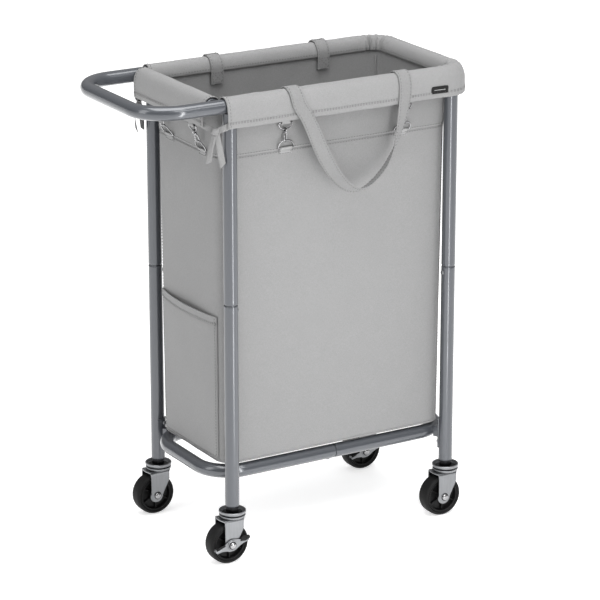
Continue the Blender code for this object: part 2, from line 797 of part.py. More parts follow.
def hook_outline():
    """Silhouette of a snap hook hanging from its eye, whose middle is the origin."""
    outline = arc((0, 0), HOOK_EYE_R, -50, 230, 5)
    outline += [(-HOOK_NECK_HALF, HOOK_NECK_Z), (-HOOK_LOOP_HALF, HOOK_LOOP_TOP_Z)]
    outline += arc((0, HOOK_LOOP_Z), HOOK_LOOP_HALF, 180, 360, 5)
    outline += [(HOOK_LOOP_HALF, HOOK_LOOP_TOP_Z), (HOOK_NECK_HALF, HOOK_NECK_Z)]
    eye_hole = arc((0, 0), HOOK_EYE_HOLE_R, 0, 300, 5)
    loop_hole = arc((0, HOOK_LOOP_Z), HOOK_LOOP_HOLE_R, 180, 360, 4)
    loop_hole += arc((0, HOOK_LOOP_TOP_Z - 0.0035), HOOK_LOOP_HOLE_R, 0, 180, 4)
    return outline, (eye_hole, loop_hole)


def build_hook(name, x, y, facing, lean_deg=0.0):
    """lean_deg swings the hook's lower end towards the bag, about its eye."""
    outline, holes = hook_outline()
    plate(
        name,
        outline,
        HOOK_THICKNESS,
        CHROME,
        holes=holes,
        location=(x, y, HOOK_PIVOT_Z),
        rotation=(math.pi / 2 - math.radians(lean_deg), 0, facing),
    )


def build_hooks():
    """Two hooks on each side of the bag; those on the left hang further out and lean in to it."""
    for side, sign in (("front", -1), ("back", 1)):
        for label, along in (("left", -1), ("right", 1)):
            x = HOOK_CENTRE_X + along * HOOK_HALF_SPAN_X
            build_hook(f"snap_hook_{side}_{label}", x, sign * (BAG_TOP_Y + HOOK_OUT), 0)
    for label, along in (("front", -1), ("back", 1)):
        y = along * HOOK_HALF_SPAN_Y
        left_x = -(BAG_TOP_X + LEFT_HOOK_OUT)
        build_hook(f"snap_hook_left_{label}", left_x, y, math.pi / 2, LEFT_HOOK_LEAN_DEG)
        build_hook(f"snap_hook_right_{label}", BAG_TOP_X + HOOK_OUT, y, math.pi / 2)


def main():
    build_top_frame()
    build_lower_ring()
    for corner, (sign_x, sign_y) in CORNERS.items():
        build_post(corner, sign_x, sign_y)
        build_saddle(corner, sign_x, sign_y)
        build_caster(corner, sign_x, sign_y)
    build_bag_body()
    build_flaps()
    build_pocket()
    build_carry_strap("front", -1)
    build_carry_strap("back", 1)
    build_hooks()


main()
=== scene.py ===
"""Looks of a laundry cart: a grey fabric bag in a steel tube frame on four swivel casters.

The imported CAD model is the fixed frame. Everything here is made in cart coordinates, in metres: the
origin is on the floor midway between the four posts, the handle is at -X and the near side at -Y.
"""

import bisect
import json
import math

import bmesh
import bpy
from mathutils import Matrix, Vector, noise

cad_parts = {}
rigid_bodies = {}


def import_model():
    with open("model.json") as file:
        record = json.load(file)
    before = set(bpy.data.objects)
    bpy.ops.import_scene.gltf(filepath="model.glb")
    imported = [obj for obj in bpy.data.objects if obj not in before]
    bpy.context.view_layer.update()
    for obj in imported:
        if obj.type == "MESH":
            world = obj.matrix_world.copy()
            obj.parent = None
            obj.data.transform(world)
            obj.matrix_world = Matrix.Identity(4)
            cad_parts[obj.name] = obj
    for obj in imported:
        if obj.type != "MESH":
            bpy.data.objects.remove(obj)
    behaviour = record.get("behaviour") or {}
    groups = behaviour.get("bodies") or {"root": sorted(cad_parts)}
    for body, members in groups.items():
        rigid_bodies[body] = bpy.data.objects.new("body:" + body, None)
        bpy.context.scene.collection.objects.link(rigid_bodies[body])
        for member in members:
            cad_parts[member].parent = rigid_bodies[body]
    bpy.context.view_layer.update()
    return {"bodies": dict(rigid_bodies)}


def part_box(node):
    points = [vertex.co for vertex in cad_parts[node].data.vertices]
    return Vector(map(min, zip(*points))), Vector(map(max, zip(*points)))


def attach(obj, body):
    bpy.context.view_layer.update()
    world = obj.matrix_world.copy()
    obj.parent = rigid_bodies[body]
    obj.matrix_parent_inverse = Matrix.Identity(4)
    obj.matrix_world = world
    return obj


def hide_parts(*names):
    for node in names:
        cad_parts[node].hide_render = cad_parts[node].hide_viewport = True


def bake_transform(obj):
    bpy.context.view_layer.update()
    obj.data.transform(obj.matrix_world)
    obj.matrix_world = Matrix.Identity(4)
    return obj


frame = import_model()

# Sizes read from the frame

CORNERS = {
    "front_left": (-1, -1),
    "front_right": (1, -1),
    "back_left": (-1, 1),
    "back_right": (1, 1),
}


def centre_of(node):
    low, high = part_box(node)
    return (low + high) / 2


HOME = sum((centre_of(f"upper_post_{corner}") for corner in CORNERS), Vector()) / len(CORNERS)
HOME.z = 0.0


def local_box(node):
    """A node's lowest and highest corners in cart coordinates."""
    low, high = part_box(node)
    return low - HOME, high - HOME


POST_LOW, POST_HIGH = local_box("upper_post_back_right")
POST_X = (POST_LOW.x + POST_HIGH.x) / 2
POST_Y = (POST_LOW.y + POST_HIGH.y) / 2
TUBE_R = (POST_HIGH.x - POST_LOW.x) / 2
SEAM_Z = POST_LOW.z
POST_TOP_Z = POST_HIGH.z
POST_BOTTOM_Z = local_box("lower_post_back_right")[0].z
RAIL_Z = local_box("handle_rail")[1].z - TUBE_R
HANDLE_X = local_box("handle_rail")[0].x + TUBE_R
RIM_END_X = local_box("rim_rail")[1].x - TUBE_R
CROSS_BAR_X = local_box("cross_bar")[0].x + TUBE_R
RING_HIGH = local_box("lower_ring_right")[1]
RING_X = RING_HIGH.x - TUBE_R
RING_Y = RING_HIGH.y - TUBE_R
RING_Z = RING_HIGH.z - TUBE_R
BAG_LOW, BAG_HIGH = local_box("bag_body")
FLAP_LOW = local_box("rim_flap")[0]
POCKET_LOW, POCKET_HIGH = local_box("side_pocket")
AXLE = centre_of("wheel_hub_front_left") - HOME - Vector((-POST_X, -POST_Y, 0.0))

# Sizes repeated from the CAD design

HANDLE_BEND_R = 0.065
RIM_BEND_R = 0.038
RING_BEND_R = 0.06
BAG_FLOOR_X = 0.229
BAG_FLOOR_Y = 0.1175
WHEEL_R = 0.0375
WHEEL_HALF = 0.014
HUB_R = 0.03
FORK_INNER_Y = 0.0165
FORK_SHEET = 0.002
FORK_TOP_Z = 0.083
RACE_TOP_Z = 0.0885
RACE_R = 0.024
HOOK_PIVOT_Z = 0.778
STRAP_WIDTH = 0.025
LEVER_Y = 0.0202
LEVER_TILT_DEG = 12

UP = Vector((0, 0, 1))


# Small tools


def shifted(x, y, z):
    return Matrix.Translation((x, y, z))


def turned(degrees, axis):
    return Matrix.Rotation(math.radians(degrees), 4, axis)


def in_scene(obj):
    bpy.context.scene.collection.objects.link(obj)
    return obj


def mix(a, b, part):
    return a + (b - a) * part


def ease(part):
    part = min(max(part, 0.0), 1.0)
    return part * part * (3 - 2 * part)


def bump_at(value, middle, width):
    """1 at the middle, falling to 0 over about twice the width."""
    return math.exp(-(((value - middle) / width) ** 2))


def ripple(x, y, seed=0.0):
    """Smooth noise between about -1 and 1."""
    return noise.noise(Vector((x, y, seed)))


def rounded_path(corners, segments=14):
    """Points of a path through corners, each (point, bend radius), with every bend as an arc."""
    points = []
    last = len(corners) - 1
    for index, (corner, radius) in enumerate(corners):
        corner = Vector(corner)
        if index in (0, last) or radius == 0:
            points.append(corner)
            continue
        before = (Vector(corners[index - 1][0]) - corner).normalized()
        after = (Vector(corners[index + 1][0]) - corner).normalized()
        half = before.angle(after) / 2
        reach = radius / math.tan(half)
        centre = corner + (before + after).normalized() * (radius / math.sin(half))
        start = corner + before * reach - centre
        end = corner + after * reach - centre
        turn = start.angle(end)
        for step in range(segments + 1):
            part = step / segments
            blend = start * math.sin((1 - part) * turn) + end * math.sin(part * turn)
            points.append(centre + blend / math.sin(turn))
    return points


def smooth_curve(points, steps):
    """A Catmull-Rom curve through points, with this many steps in each span."""
    points = [Vector(point) for point in points]
    ends = [points[0] * 2 - points[1], *points, points[-1] * 2 - points[-2]]
    curve = []
    for index in range(len(points) - 1):
        a, b, c, d = ends[index : index + 4]
        for step in range(steps):
            t = step / steps
            square = a * 2 - b * 5 + c * 4 - d
            cube = b * 3 - a - c * 3 + d
            curve.append((b * 2 + (c - a) * t + square * t**2 + cube * t**3) / 2)
    curve.append(points[-1])
    return curve


def lengths_along(points):
    lengths = [0.0]
    for before, after in zip(points, points[1:]):
        lengths.append(lengths[-1] + (after - before).length)
    return lengths


class Line:
    """A path that can be read at any distance from its start."""

    def __init__(self, points):
        self.points = points
        self.lengths = lengths_along(points)
        self.length = self.lengths[-1]

    def find(self, distance):
        """The index of the last point before a distance, and how far on to the next that is."""
        distance = min(max(distance, 0.0), self.length)
        low = min(bisect.bisect_right(self.lengths, distance), len(self.points) - 1) - 1
        return low, (distance - self.lengths[low]) / (self.lengths[low + 1] - self.lengths[low])

    def at(self, distance):
        low, part = self.find(distance)
        return self.points[low].lerp(self.points[low + 1], part)

    def along(self, distance, reach=0.0008):
        return (self.at(distance + reach) - self.at(distance - reach)).normalized()


def even_steps(start, end, size):
    """Values from start to end, evenly spaced at about this size."""
    count = max(1, round(abs(end - start) / size))
    return [mix(start, end, step / count) for step in range(count + 1)]


def circle(radius, sides):
    turns = [2 * math.pi * side / sides for side in range(sides)]
    return [(radius * math.cos(turn), radius * math.sin(turn)) for turn in turns]


def arc(centre, radius, start_deg, end_deg, segments):
    points = []
    for step in range(segments + 1):
        angle = math.radians(mix(start_deg, end_deg, step / segments))
        points.append((centre[0] + radius * math.cos(angle), centre[1] + radius * math.sin(angle)))
    return points


def rounded_outline(corners, segments=5):
    """A closed flat outline through (x, y, fillet radius) corners."""
    count = len(corners)
    outline = []
    for index, (x, y, radius) in enumerate(corners):
        if radius == 0:
            outline.append((x, y))
            continue
        before = corners[index - 1]
        after = corners[(index + 1) % count]
        path = rounded_path(
            [((before[0], before[1], 0), 0), ((x, y, 0), radius), ((after[0], after[1], 0), 0)], segments
        )
        outline += [(point.x, point.y) for point in path[1:-1]]
    return outline


def inset(outline, distance):
    """A counter-clockwise outline moved inwards."""
    count = len(outline)
    moved = []
    for index in range(count):
        x, y = outline[index]
        before = Vector(outline[index]) - Vector(outline[index - 1])
        after = Vector(outline[(index + 1) % count]) - Vector(outline[index])
        normal = (Vector((-before.y, before.x)).normalized() + Vector((-after.y, after.x)).normalized()) / 2
        scale = distance / max(normal.length_squared, 0.25)
        moved.append((x + normal.x * scale, y + normal.y * scale))
    return moved


THREAD_R = 0.00062
STITCH_PITCH = 0.0056
STITCH_LENGTH = 0.0034


class Shape:
    """One piece's mesh while it is being made, in cart coordinates, with UVs in metres."""

    def __init__(self):
        self.work = bmesh.new()
        self.flat = self.work.loops.layers.uv.new("flat")

    def grid(self, rows, wrap_rows=False, wrap_columns=False, caps=False):
        """Quads between rows of points, wrapped or capped where asked; they face columns x rows."""
        verts = [[self.work.verts.new(point) for point in row] for row in rows]
        middle_column = [row[len(row) // 2] for row in rows]
        middle_row = rows[len(rows) // 2]
        along = lengths_along([*middle_column, middle_column[0]])
        across = lengths_along([*middle_row, middle_row[0]])
        row_count = len(rows) if wrap_rows else len(rows) - 1
        column_count = len(middle_row) if wrap_columns else len(middle_row) - 1
        for r in range(row_count):
            here, above = verts[r], verts[(r + 1) % len(rows)]
            for c in range(column_count):
                after = (c + 1) % len(middle_row)
                face = self.work.faces.new((here[c], here[after], above[after], above[c]))
                face.smooth = True
                for loop, (i, j) in zip(face.loops, ((c, r), (c + 1, r), (c + 1, r + 1), (c, r + 1))):
                    loop[self.flat].uv = (across[i], along[j])
        if caps:
            for row in (verts[0][::-1], verts[-1]):
                face = self.work.faces.new(row)
                face.smooth = True
                for loop in face.loops:
                    loop[self.flat].uv = (loop.vert.co.x, loop.vert.co.y)
        return self

    def tube(self, points, radius, normal, sides=32, closed=False, scales=None):
        """Sweeps a circle along points, kept free of twist."""
        section = circle(radius, sides)
        count = len(points)
        normal = Vector(normal)
        rows = []
        for index, point in enumerate(points):
            before = points[index - 1] if index or closed else point
            after = points[(index + 1) % count] if index < count - 1 or closed else point
            along = (after - before).normalized()
            normal = (normal - along * normal.dot(along)).normalized()
            side = along.cross(normal)
            scale = scales[index] if scales else 1.0
            rows.append([point + (normal * a + side * b) * scale for a, b in section])
        return self.grid(rows, wrap_rows=closed, wrap_columns=True, caps=not closed)

    def turn(self, profile, at=None, steps=48, closed=False):
        """A turned body from (radius, height) points that run up its outer side."""
        at = at or Matrix.Identity(4)
        rows = []
        for radius, height in profile:
            rows.append([at @ Vector((x, y, height)) for x, y in circle(radius, steps)])
        return self.grid(rows, wrap_rows=closed, wrap_columns=True)

    def plate(self, outline, thickness, at=None, edge=0.0004):
        """A flat counter-clockwise outline, thickened about its plane, with eased edges."""
        at = at or Matrix.Identity(4)
        half = thickness / 2
        rows = []
        for distance, height in ((edge, -half), (0.0, -half + edge), (0.0, half - edge), (edge, half)):
            flat = inset(outline, distance) if distance else outline
            rows.append([at @ Vector((x, y, height)) for x, y in flat])
        return self.grid(rows, wrap_columns=True, caps=True)

    def stitch(self, start, end, normal, radius=THREAD_R):
        """One stitch of thread that dips into the cloth at both ends."""
        side = (end - start).normalized().cross(normal)
        rows = []
        for part, width, lift in ((0, 0.3, -0.5), (0.22, 0.95, 0.35), (0.78, 0.95, 0.35), (1, 0.3, -0.5)):
            centre = start.lerp(end, part) + normal * radius * lift
            rows.append([centre + (normal * a + side * b) * width for a, b in circle(radius, 6)])
        return self.grid(rows, wrap_columns=True, caps=True)

    def sew(self, surface, points, pitch=STITCH_PITCH, length=STITCH_LENGTH):
        """A row of stitches on surface(u, v) along a path of (u, v) points in metres."""
        line = Line([Vector((u, v, 0.0)) for u, v in points])
        for distance in even_steps(0.0, line.length - length, pitch):
            ends = [line.at(distance), line.at(distance + length)]
            normal = normal_of(surface, ends[0].x, ends[0].y)
            start, end = (surface(end.x, end.y) for end in ends)
            self.stitch(start, end, normal)
        return self


def normal_of(surface, u, v, reach=0.0009):
    across = surface(u + reach, v) - surface(u - reach, v)
    along = surface(u, v + reach) - surface(u, v - reach)
    return across.cross(along).normalized()


def piece(name, shape, material, body, replaces=(), sharp_deg=38.0, at=None):
    """Turns a shape into a named object that rides on a CAD body."""
    bmesh.ops.remove_doubles(shape.work, verts=shape.work.verts, dist=1e-6)
    mesh = bpy.data.meshes.new(name)
    shape.work.to_mesh(mesh)
    shape.work.free()
    mesh.transform(Matrix.Translation(HOME) @ (at or Matrix.Identity(4)))
    mesh.set_sharp_from_angle(angle=math.radians(sharp_deg))
    mesh.materials.append(material)
    obj = in_scene(bpy.data.objects.new(name, mesh))
    if body is not None:
        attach(obj, body)
    if replaces:
        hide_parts(*replaces)
    return obj


def thicken(obj, thickness):
    """Gives a sheet its thickness; the mesh stays the outer face."""
    solid = obj.modifiers.new("cloth thickness", "SOLIDIFY")
    solid.thickness = thickness
    solid.offset = -1.0
    solid.use_even_offset = False


# Materials

FLOOR_REACH = (0.25, 1.5)
FLOOR_GLOW = (0.55, 0.7)


def grey(value):
    return (value, value, value)


class Finish:
    """A Principled material and the small node chains that feed it."""

    def __init__(self, name, base, roughness, metallic=0.0):
        self.material = bpy.data.materials.new(name)
        self.material.use_nodes = True
        self.tree = self.material.node_tree
        self.shader = self.tree.nodes["Principled BSDF"]
        self.base = base
        self.shader.inputs["Base Color"].default_value = (*base, 1.0)
        self.shader.inputs["Roughness"].default_value = roughness
        self.shader.inputs["Metallic"].default_value = metallic
        self.material.diffuse_color = (*base, 1.0)
        self.coordinates = self.tree.nodes.new("ShaderNodeTexCoord")

    def node(self, kind, **settings):
        made = self.tree.nodes.new(kind)
        for key, value in settings.items():
            setattr(made, key, value)
        return made

    def link(self, source, target):
        self.tree.links.new(source, target)

    def mapped(self, scale, space="Object"):
        mapping = self.node("ShaderNodeMapping")
        mapping.inputs["Scale"].default_value = scale
        self.link(self.coordinates.outputs[space], mapping.inputs["Vector"])
        return mapping.outputs["Vector"]

    def noise(self, scale, detail=3.0, roughness=0.55, space="Object"):
        """Noise, with scale as cycles a metre on each axis."""
        made = self.node("ShaderNodeTexNoise")
        made.inputs["Scale"].default_value = 1.0
        made.inputs["Detail"].default_value = detail
        made.inputs["Roughness"].default_value = roughness
        self.link(self.mapped(scale, space), made.inputs["Vector"])
        return made.outputs["Fac"]

    def ramp(self, source, low, high, start=0.3, end=0.7):
        made = self.node("ShaderNodeValToRGB")
        made.color_ramp.elements[0].position = start
        made.color_ramp.elements[0].color = (*low, 1.0)
        made.color_ramp.elements[1].position = end
        made.color_ramp.elements[1].color = (*high, 1.0)
        self.link(source, made.inputs["Fac"])
        return made.outputs["Color"]

    def shade(self, source, low, high):
        """The base colour times low to high, as source goes from dark to light."""
        return self.ramp(source, [c * low for c in self.base], [c * high for c in self.base])

    def math(self, operation, a, b=None, c=None):
        made = self.node("ShaderNodeMath", operation=operation)
        for socket, value in zip(made.inputs, (a, b, c)):
            if value is None:
                continue
            if isinstance(value, (int, float)):
                socket.default_value = value
            else:
                self.link(value, socket)
        return made.outputs["Value"]

    def blend(self, a, b, mode="MULTIPLY", factor=1.0):
        made = self.node("ShaderNodeMix", data_type="RGBA", blend_type=mode)
        made.inputs["Factor"].default_value = factor
        self.link(a, made.inputs["A"])
        self.link(b, made.inputs["B"])
        return made.outputs["Result"]

    def spread(self, source, low, high):
        """Maps 0 to 1 onto low to high."""
        made = self.node("ShaderNodeMapRange")
        made.inputs["To Min"].default_value = low
        made.inputs["To Max"].default_value = high
        self.link(source, made.inputs["Value"])
        return made.outputs["Result"]

    def bump(self, height, distance, strength=1.0, under=None):
        made = self.node("ShaderNodeBump")
        made.inputs["Distance"].default_value = distance
        made.inputs["Strength"].default_value = strength
        self.link(height, made.inputs["Height"])
        if under is not None:
            self.link(under, made.inputs["Normal"])
        return made.outputs["Normal"]

    def set(self, socket, source):
        self.link(source, self.shader.inputs[socket])

    def hold(self, socket, value):
        self.shader.inputs[socket].default_value = value


def woven(name, base, pitch, depth, heather):
    """Plain-weave cloth: warp and weft ridges at pitch, slubs in both directions and soft mottling."""
    finish = Finish(name, base, 0.88)
    finish.hold("Sheen Weight", 0.12)
    finish.hold("Sheen Roughness", 0.5)
    finish.hold("Specular IOR Level", 0.25)
    split = finish.node("ShaderNodeSeparateXYZ")
    finish.link(finish.coordinates.outputs["UV"], split.inputs["Vector"])
    turns = 2 * math.pi / pitch
    warp = finish.math("SINE", finish.math("MULTIPLY", split.outputs["X"], turns))
    weft = finish.math("SINE", finish.math("MULTIPLY", split.outputs["Y"], turns))
    weave = finish.math("MULTIPLY_ADD", finish.math("MULTIPLY", warp, weft), 0.5, 0.5)
    slubs_up = finish.noise((1400, 160, 1), 2.0, space="UV")
    slubs_across = finish.noise((160, 1400, 1), 2.0, space="UV")
    slubs = finish.math("MULTIPLY_ADD", finish.math("ADD", slubs_up, slubs_across), 0.5, 0.0)
    mottle = finish.noise((26, 26, 26), 4.0)
    grain = finish.noise((520, 520, 520), 2.0)
    colour = finish.shade(slubs, 1 - heather, 1 + heather)
    colour = finish.blend(colour, finish.ramp(mottle, (0.985, 0.985, 0.987), grey(1.012), 0.3, 0.7))
    colour = finish.blend(colour, finish.ramp(grain, grey(0.93), grey(1.06), 0.25, 0.75))
    colour = finish.blend(colour, finish.ramp(weave, grey(0.9), grey(1.04), 0.1, 0.9))
    finish.set("Base Color", colour)
    finish.set("Roughness", finish.spread(slubs, 0.8, 0.96))
    height = finish.math("ADD", weave, finish.math("MULTIPLY", slubs, 1.2))
    coarse = finish.bump(finish.noise((120, 120, 120), 3.0), 0.0003, 0.5)
    finish.set("Normal", finish.bump(height, depth, 0.7, under=coarse))
    return finish.material


def metal(name, base, roughness, spread, grain, bump, marked=0.1):
    """Metal with uneven gloss, fine texture and slightly duller, darker handling marks."""
    finish = Finish(name, base, roughness, 1.0)
    clouds = finish.noise((22, 22, 22), 4.0)
    fine = finish.noise((grain, grain, grain), 3.0)
    marks = finish.noise((320, 320, 40), 2.0)
    colour = finish.shade(clouds, 1 - marked * 0.8, 1 + marked * 0.7)
    colour = finish.blend(colour, finish.ramp(marks, grey(1 - marked), grey(1.02), 0.35, 0.6))
    finish.set("Base Color", colour)
    uneven = finish.math("MULTIPLY_ADD", finish.math("ADD", clouds, marks), 0.5, 0.0)
    finish.set("Roughness", finish.spread(uneven, roughness - spread, roughness + spread))
    finish.set("Normal", finish.bump(fine, bump, 0.35))
    return finish.material


def painted(name, base):
    """Satin metallic paint: even colour with faint flake, slight clouding and small dull rubs."""
    finish = Finish(name, base, 0.3, 0.3)
    finish.hold("Specular IOR Level", 0.2)
    finish.hold("Coat Weight", 0.8)
    finish.hold("Coat Roughness", 0.15)
    finish.hold("Coat IOR", 1.62)
    clouds = finish.noise((14, 14, 14), 3.0)
    flake = finish.noise((2600, 2600, 2600), 1.0)
    rubs = finish.noise((70, 70, 18), 4.0, 0.7)
    colour = finish.shade(clouds, 0.985, 1.015)
    colour = finish.blend(colour, finish.ramp(flake, grey(0.97), grey(1.03), 0.3, 0.7))
    finish.set("Base Color", colour)
    finish.set("Roughness", finish.ramp(rubs, grey(0.28), grey(0.32), 0.4, 0.8))
    finish.set("Normal", finish.bump(finish.noise((40, 40, 40), 1.0), 0.00001, 0.1))
    return finish.material


def moulded(name, base, roughness, grain, bump, dust):
    """Plastic or rubber with a fine moulded grain and a little pale dust in it."""
    finish = Finish(name, base, roughness)
    finish.hold("Specular IOR Level", 0.22)
    fine = finish.noise((grain, grain, grain), 2.0)
    clouds = finish.noise((60, 60, 60), 5.0, 0.65)
    dusty = [c + dust for c in base]
    finish.set("Base Color", finish.ramp(clouds, base, dusty, 0.42, 0.8))
    finish.set("Roughness", finish.spread(clouds, roughness - 0.08, roughness + 0.14))
    finish.set("Normal", finish.bump(fine, bump, 0.4))
    return finish.material


def floor_finish():
    """A pale matt floor that glows faintly near the cart and turns to plain white further away."""
    finish = Finish("pale_floor", grey(0.93), 0.7)
    finish.set("Base Color", finish.ramp(finish.noise((3, 3, 3)), grey(0.925), grey(0.935)))
    finish.hold("Specular IOR Level", 0.1)
    finish.hold("Emission Color", (1, 1, 1, 1))
    reach = finish.node("ShaderNodeVectorMath", operation="LENGTH")
    finish.link(finish.coordinates.outputs["Object"], reach.inputs[0])
    far = finish.node("ShaderNodeMapRange", interpolation_type="SMOOTHSTEP")
    for socket, value in zip(("From Min", "From Max", "To Min", "To Max"), (*FLOOR_REACH, *FLOOR_GLOW)):
        far.inputs[socket].default_value = value
    finish.link(reach.outputs["Value"], far.inputs["Value"])
    finish.set("Emission Strength", far.outputs["Result"])
    return finish.material


STEEL = painted("grey_painted_steel", (0.068, 0.073, 0.083))
ZINC = metal("bright_zinc", (0.225, 0.23, 0.238), 0.33, 0.05, 900, 0.00004, marked=0.05)
DARK_ZINC = metal("dull_zinc", (0.03, 0.03, 0.032), 0.4, 0.08, 900, 0.00006)
CHROME = metal("chromed_zinc", (0.34, 0.34, 0.345), 0.2, 0.05, 600, 0.00002)
CLOTH = woven("grey_woven_cloth", grey(0.245), 0.0011, 0.00012, 0.08)
# The strap cloth is darker than the bag cloth, partly as painted shade standing in for the shade on its
# down-facing legs.
WEBBING = woven("folded_cloth_strap_painted_shade", grey(0.22), 0.0009, 0.0001, 0.09)
TAPE = woven("woven_tape", grey(0.3), 0.0014, 0.00014, 0.08)
# The thread is darker than the cloth, partly as painted shade of the holes where the stitches sink into it.
THREAD = woven("grey_thread_painted_hole_shade", grey(0.15), 0.0005, 0.00008, 0.1)
DARK_CLOTH = woven("coated_board_cloth", (0.26, 0.26, 0.265), 0.0013, 0.0001, 0.08)
BLACK_PLASTIC = moulded("black_plastic", (0.0036, 0.0036, 0.0038), 0.45, 1500, 0.00003, 0.003)
BLACK_RUBBER = moulded("black_rubber", (0.0038, 0.0038, 0.0039), 0.6, 900, 0.00005, 0.0035)
LABEL_BLACK = moulded("label_black", grey(0.008), 0.6, 2500, 0.00004, 0.004)
LABEL_PALE = moulded("label_pale", grey(0.34), 0.55, 2500, 0.00004, 0.03)


# Camera, lights and floor

VIEW_AZIMUTH = math.radians(-30.74)
VIEW_ELEVATION = math.radians(17.93)
VIEW_DISTANCE = 5.5
VIEW_LENS = 183.97
VIEW_TARGET = Vector((-0.0026, 0.0015, 0.4064))


def point_at(obj, target):
    obj.rotation_euler = (target - obj.location).to_track_quat("-Z", "Y").to_euler()


def around(azimuth, elevation, distance):
    """The offset of a point seen from the front at azimuth 0, and from +X at 90 degrees."""
    flat = math.cos(elevation)
    return Vector((math.sin(azimuth) * flat, -math.cos(azimuth) * flat, math.sin(elevation))) * distance


def add_camera():
    data = bpy.data.cameras.new("camera")
    data.lens = VIEW_LENS
    data.sensor_width = 36.0
    camera = in_scene(bpy.data.objects.new("camera", data))
    target = HOME + VIEW_TARGET
    camera.location = target + around(VIEW_AZIMUTH, VIEW_ELEVATION, VIEW_DISTANCE)
    point_at(camera, target)
    bpy.context.scene.camera = camera


def add_area_light(name, location, target, width, height, power):
    data = bpy.data.lights.new(name, "AREA")
    data.shape = "RECTANGLE"
    data.size = width
    data.size_y = height
    data.energy = power
    lamp = in_scene(bpy.data.objects.new(name, data))
    lamp.location = HOME + location
    point_at(lamp, HOME + target)
    lamp.visible_camera = False


def add_softbox(name, azimuth_deg, elevation_deg, distance, width, height, power):
    middle = Vector((0, 0, 0.45))
    offset = around(math.radians(azimuth_deg), math.radians(elevation_deg), distance)
    add_area_light(name, middle + offset, middle, width, height, power)


def add_strip(name, foot, width, height, power):
    """A narrow upright light that stands near the cart and gives its posts their bright streak."""
    middle_z = height / 2
    add_area_light(name, Vector((*foot, middle_z)), Vector((0, -POST_Y, middle_z)), width, height, power)


WORLD_LOW = (0.14, 0.14, 0.145, 1)
WORLD_HIGH = (0.6, 0.6, 0.6, 1)


def add_world():
    """White to the camera; as light it is bright overhead and darker low down and behind."""
    world = bpy.data.worlds.new("studio")
    bpy.context.scene.world = world
    world.use_nodes = True
    tree = world.node_tree
    tree.nodes.clear()
    kinds = "OutputWorld Background Background TexCoord SeparateXYZ ValToRGB LightPath MixShader".split()
    out, lit, seen, place, split, ramp, rays, choose = (tree.nodes.new(f"ShaderNode{kind}") for kind in kinds)
    seen.inputs["Color"].default_value = (1, 1, 1, 1)
    seen.inputs["Strength"].default_value = 1.05
    for element, position, colour in zip(ramp.color_ramp.elements, (0.0, 0.75), (WORLD_LOW, WORLD_HIGH)):
        element.position = position
        element.color = colour
    for source, target in (
        (place.outputs["Generated"], split.inputs["Vector"]),
        (split.outputs["Z"], ramp.inputs["Fac"]),
        (ramp.outputs["Color"], lit.inputs["Color"]),
        (rays.outputs["Is Camera Ray"], choose.inputs["Fac"]),
        (lit.outputs["Background"], choose.inputs[1]),
        (seen.outputs["Background"], choose.inputs[2]),
        (choose.outputs["Shader"], out.inputs["Surface"]),
    ):
        tree.links.new(source, target)


def add_floor():
    mesh = bpy.data.meshes.new("floor")
    work = bmesh.new()
    bmesh.ops.create_grid(work, x_segments=2, y_segments=2, size=30.0)
    work.to_mesh(mesh)
    work.free()
    mesh.materials.append(floor_finish())
    floor = in_scene(bpy.data.objects.new("floor", mesh))
    floor.location = (0, 0, -0.0002)


add_camera()
add_world()
add_floor()
add_softbox("top_softbox", -20, 78, 2.6, 2.4, 1.8, 72)
add_softbox("left_softbox", -85, 25, 2.8, 0.8, 2.2, 16)
add_softbox("front_softbox", 8, 42, 3.0, 1.6, 0.45, 13)
add_strip("post_strip", (-0.089, -0.875), 0.1, 1.15, 4.6)
bpy.context.scene.view_settings.view_transform = "Standard"


# Tube frame


def tube_end_cut(points, lip=0.0012):
    """Radius scales that ease both ends of a tube, for a path with two extra points at each end."""
    return [1 - lip / TUBE_R * 0.6, 1.0] + [1.0] * (len(points) - 4) + [1.0, 1 - lip / TUBE_R * 0.6]


def half_frame_path(side, reach_x, half_y, height, bend_r, start_x):
    """One U of the frame, from its joint at start_x round to the other side."""
    corners = [
        ((start_x, -half_y, height), 0),
        ((side * reach_x, -half_y, height), bend_r),
        ((side * reach_x, half_y, height), bend_r),
        ((start_x, half_y, height), 0),
    ]
    points = rounded_path(corners, 20)
    lip = Vector((side * 0.0008, 0, 0))
    return [points[0], points[0] + lip, *points[1:-1], points[-1] + lip, points[-1]]


def build_rails():
    """The handle, the rim and the cross bar that carries the short flap."""
    rails = (("handle_rail", -1, -HANDLE_X, HANDLE_BEND_R), ("rim_rail", 1, RIM_END_X, RIM_BEND_R))
    for name, side, reach, bend in rails:
        points = half_frame_path(side, reach, POST_Y, RAIL_Z, bend, side * 0.0006)
        shape = Shape().tube(points, TUBE_R, (0, 0, 1), 36, scales=tube_end_cut(points))
        piece(f"{name}_tube", shape, STEEL, "root", [name])
    half = POST_Y - TUBE_R * 0.94
    ends = [Vector((CROSS_BAR_X, y, RAIL_Z)) for y in (-half, -half + 0.001, half - 0.001, half)]
    shape = Shape().tube(ends, TUBE_R, (0, 0, 1), 32, scales=tube_end_cut(ends))
    piece("cross_bar_tube", shape, STEEL, "root", ["cross_bar"])


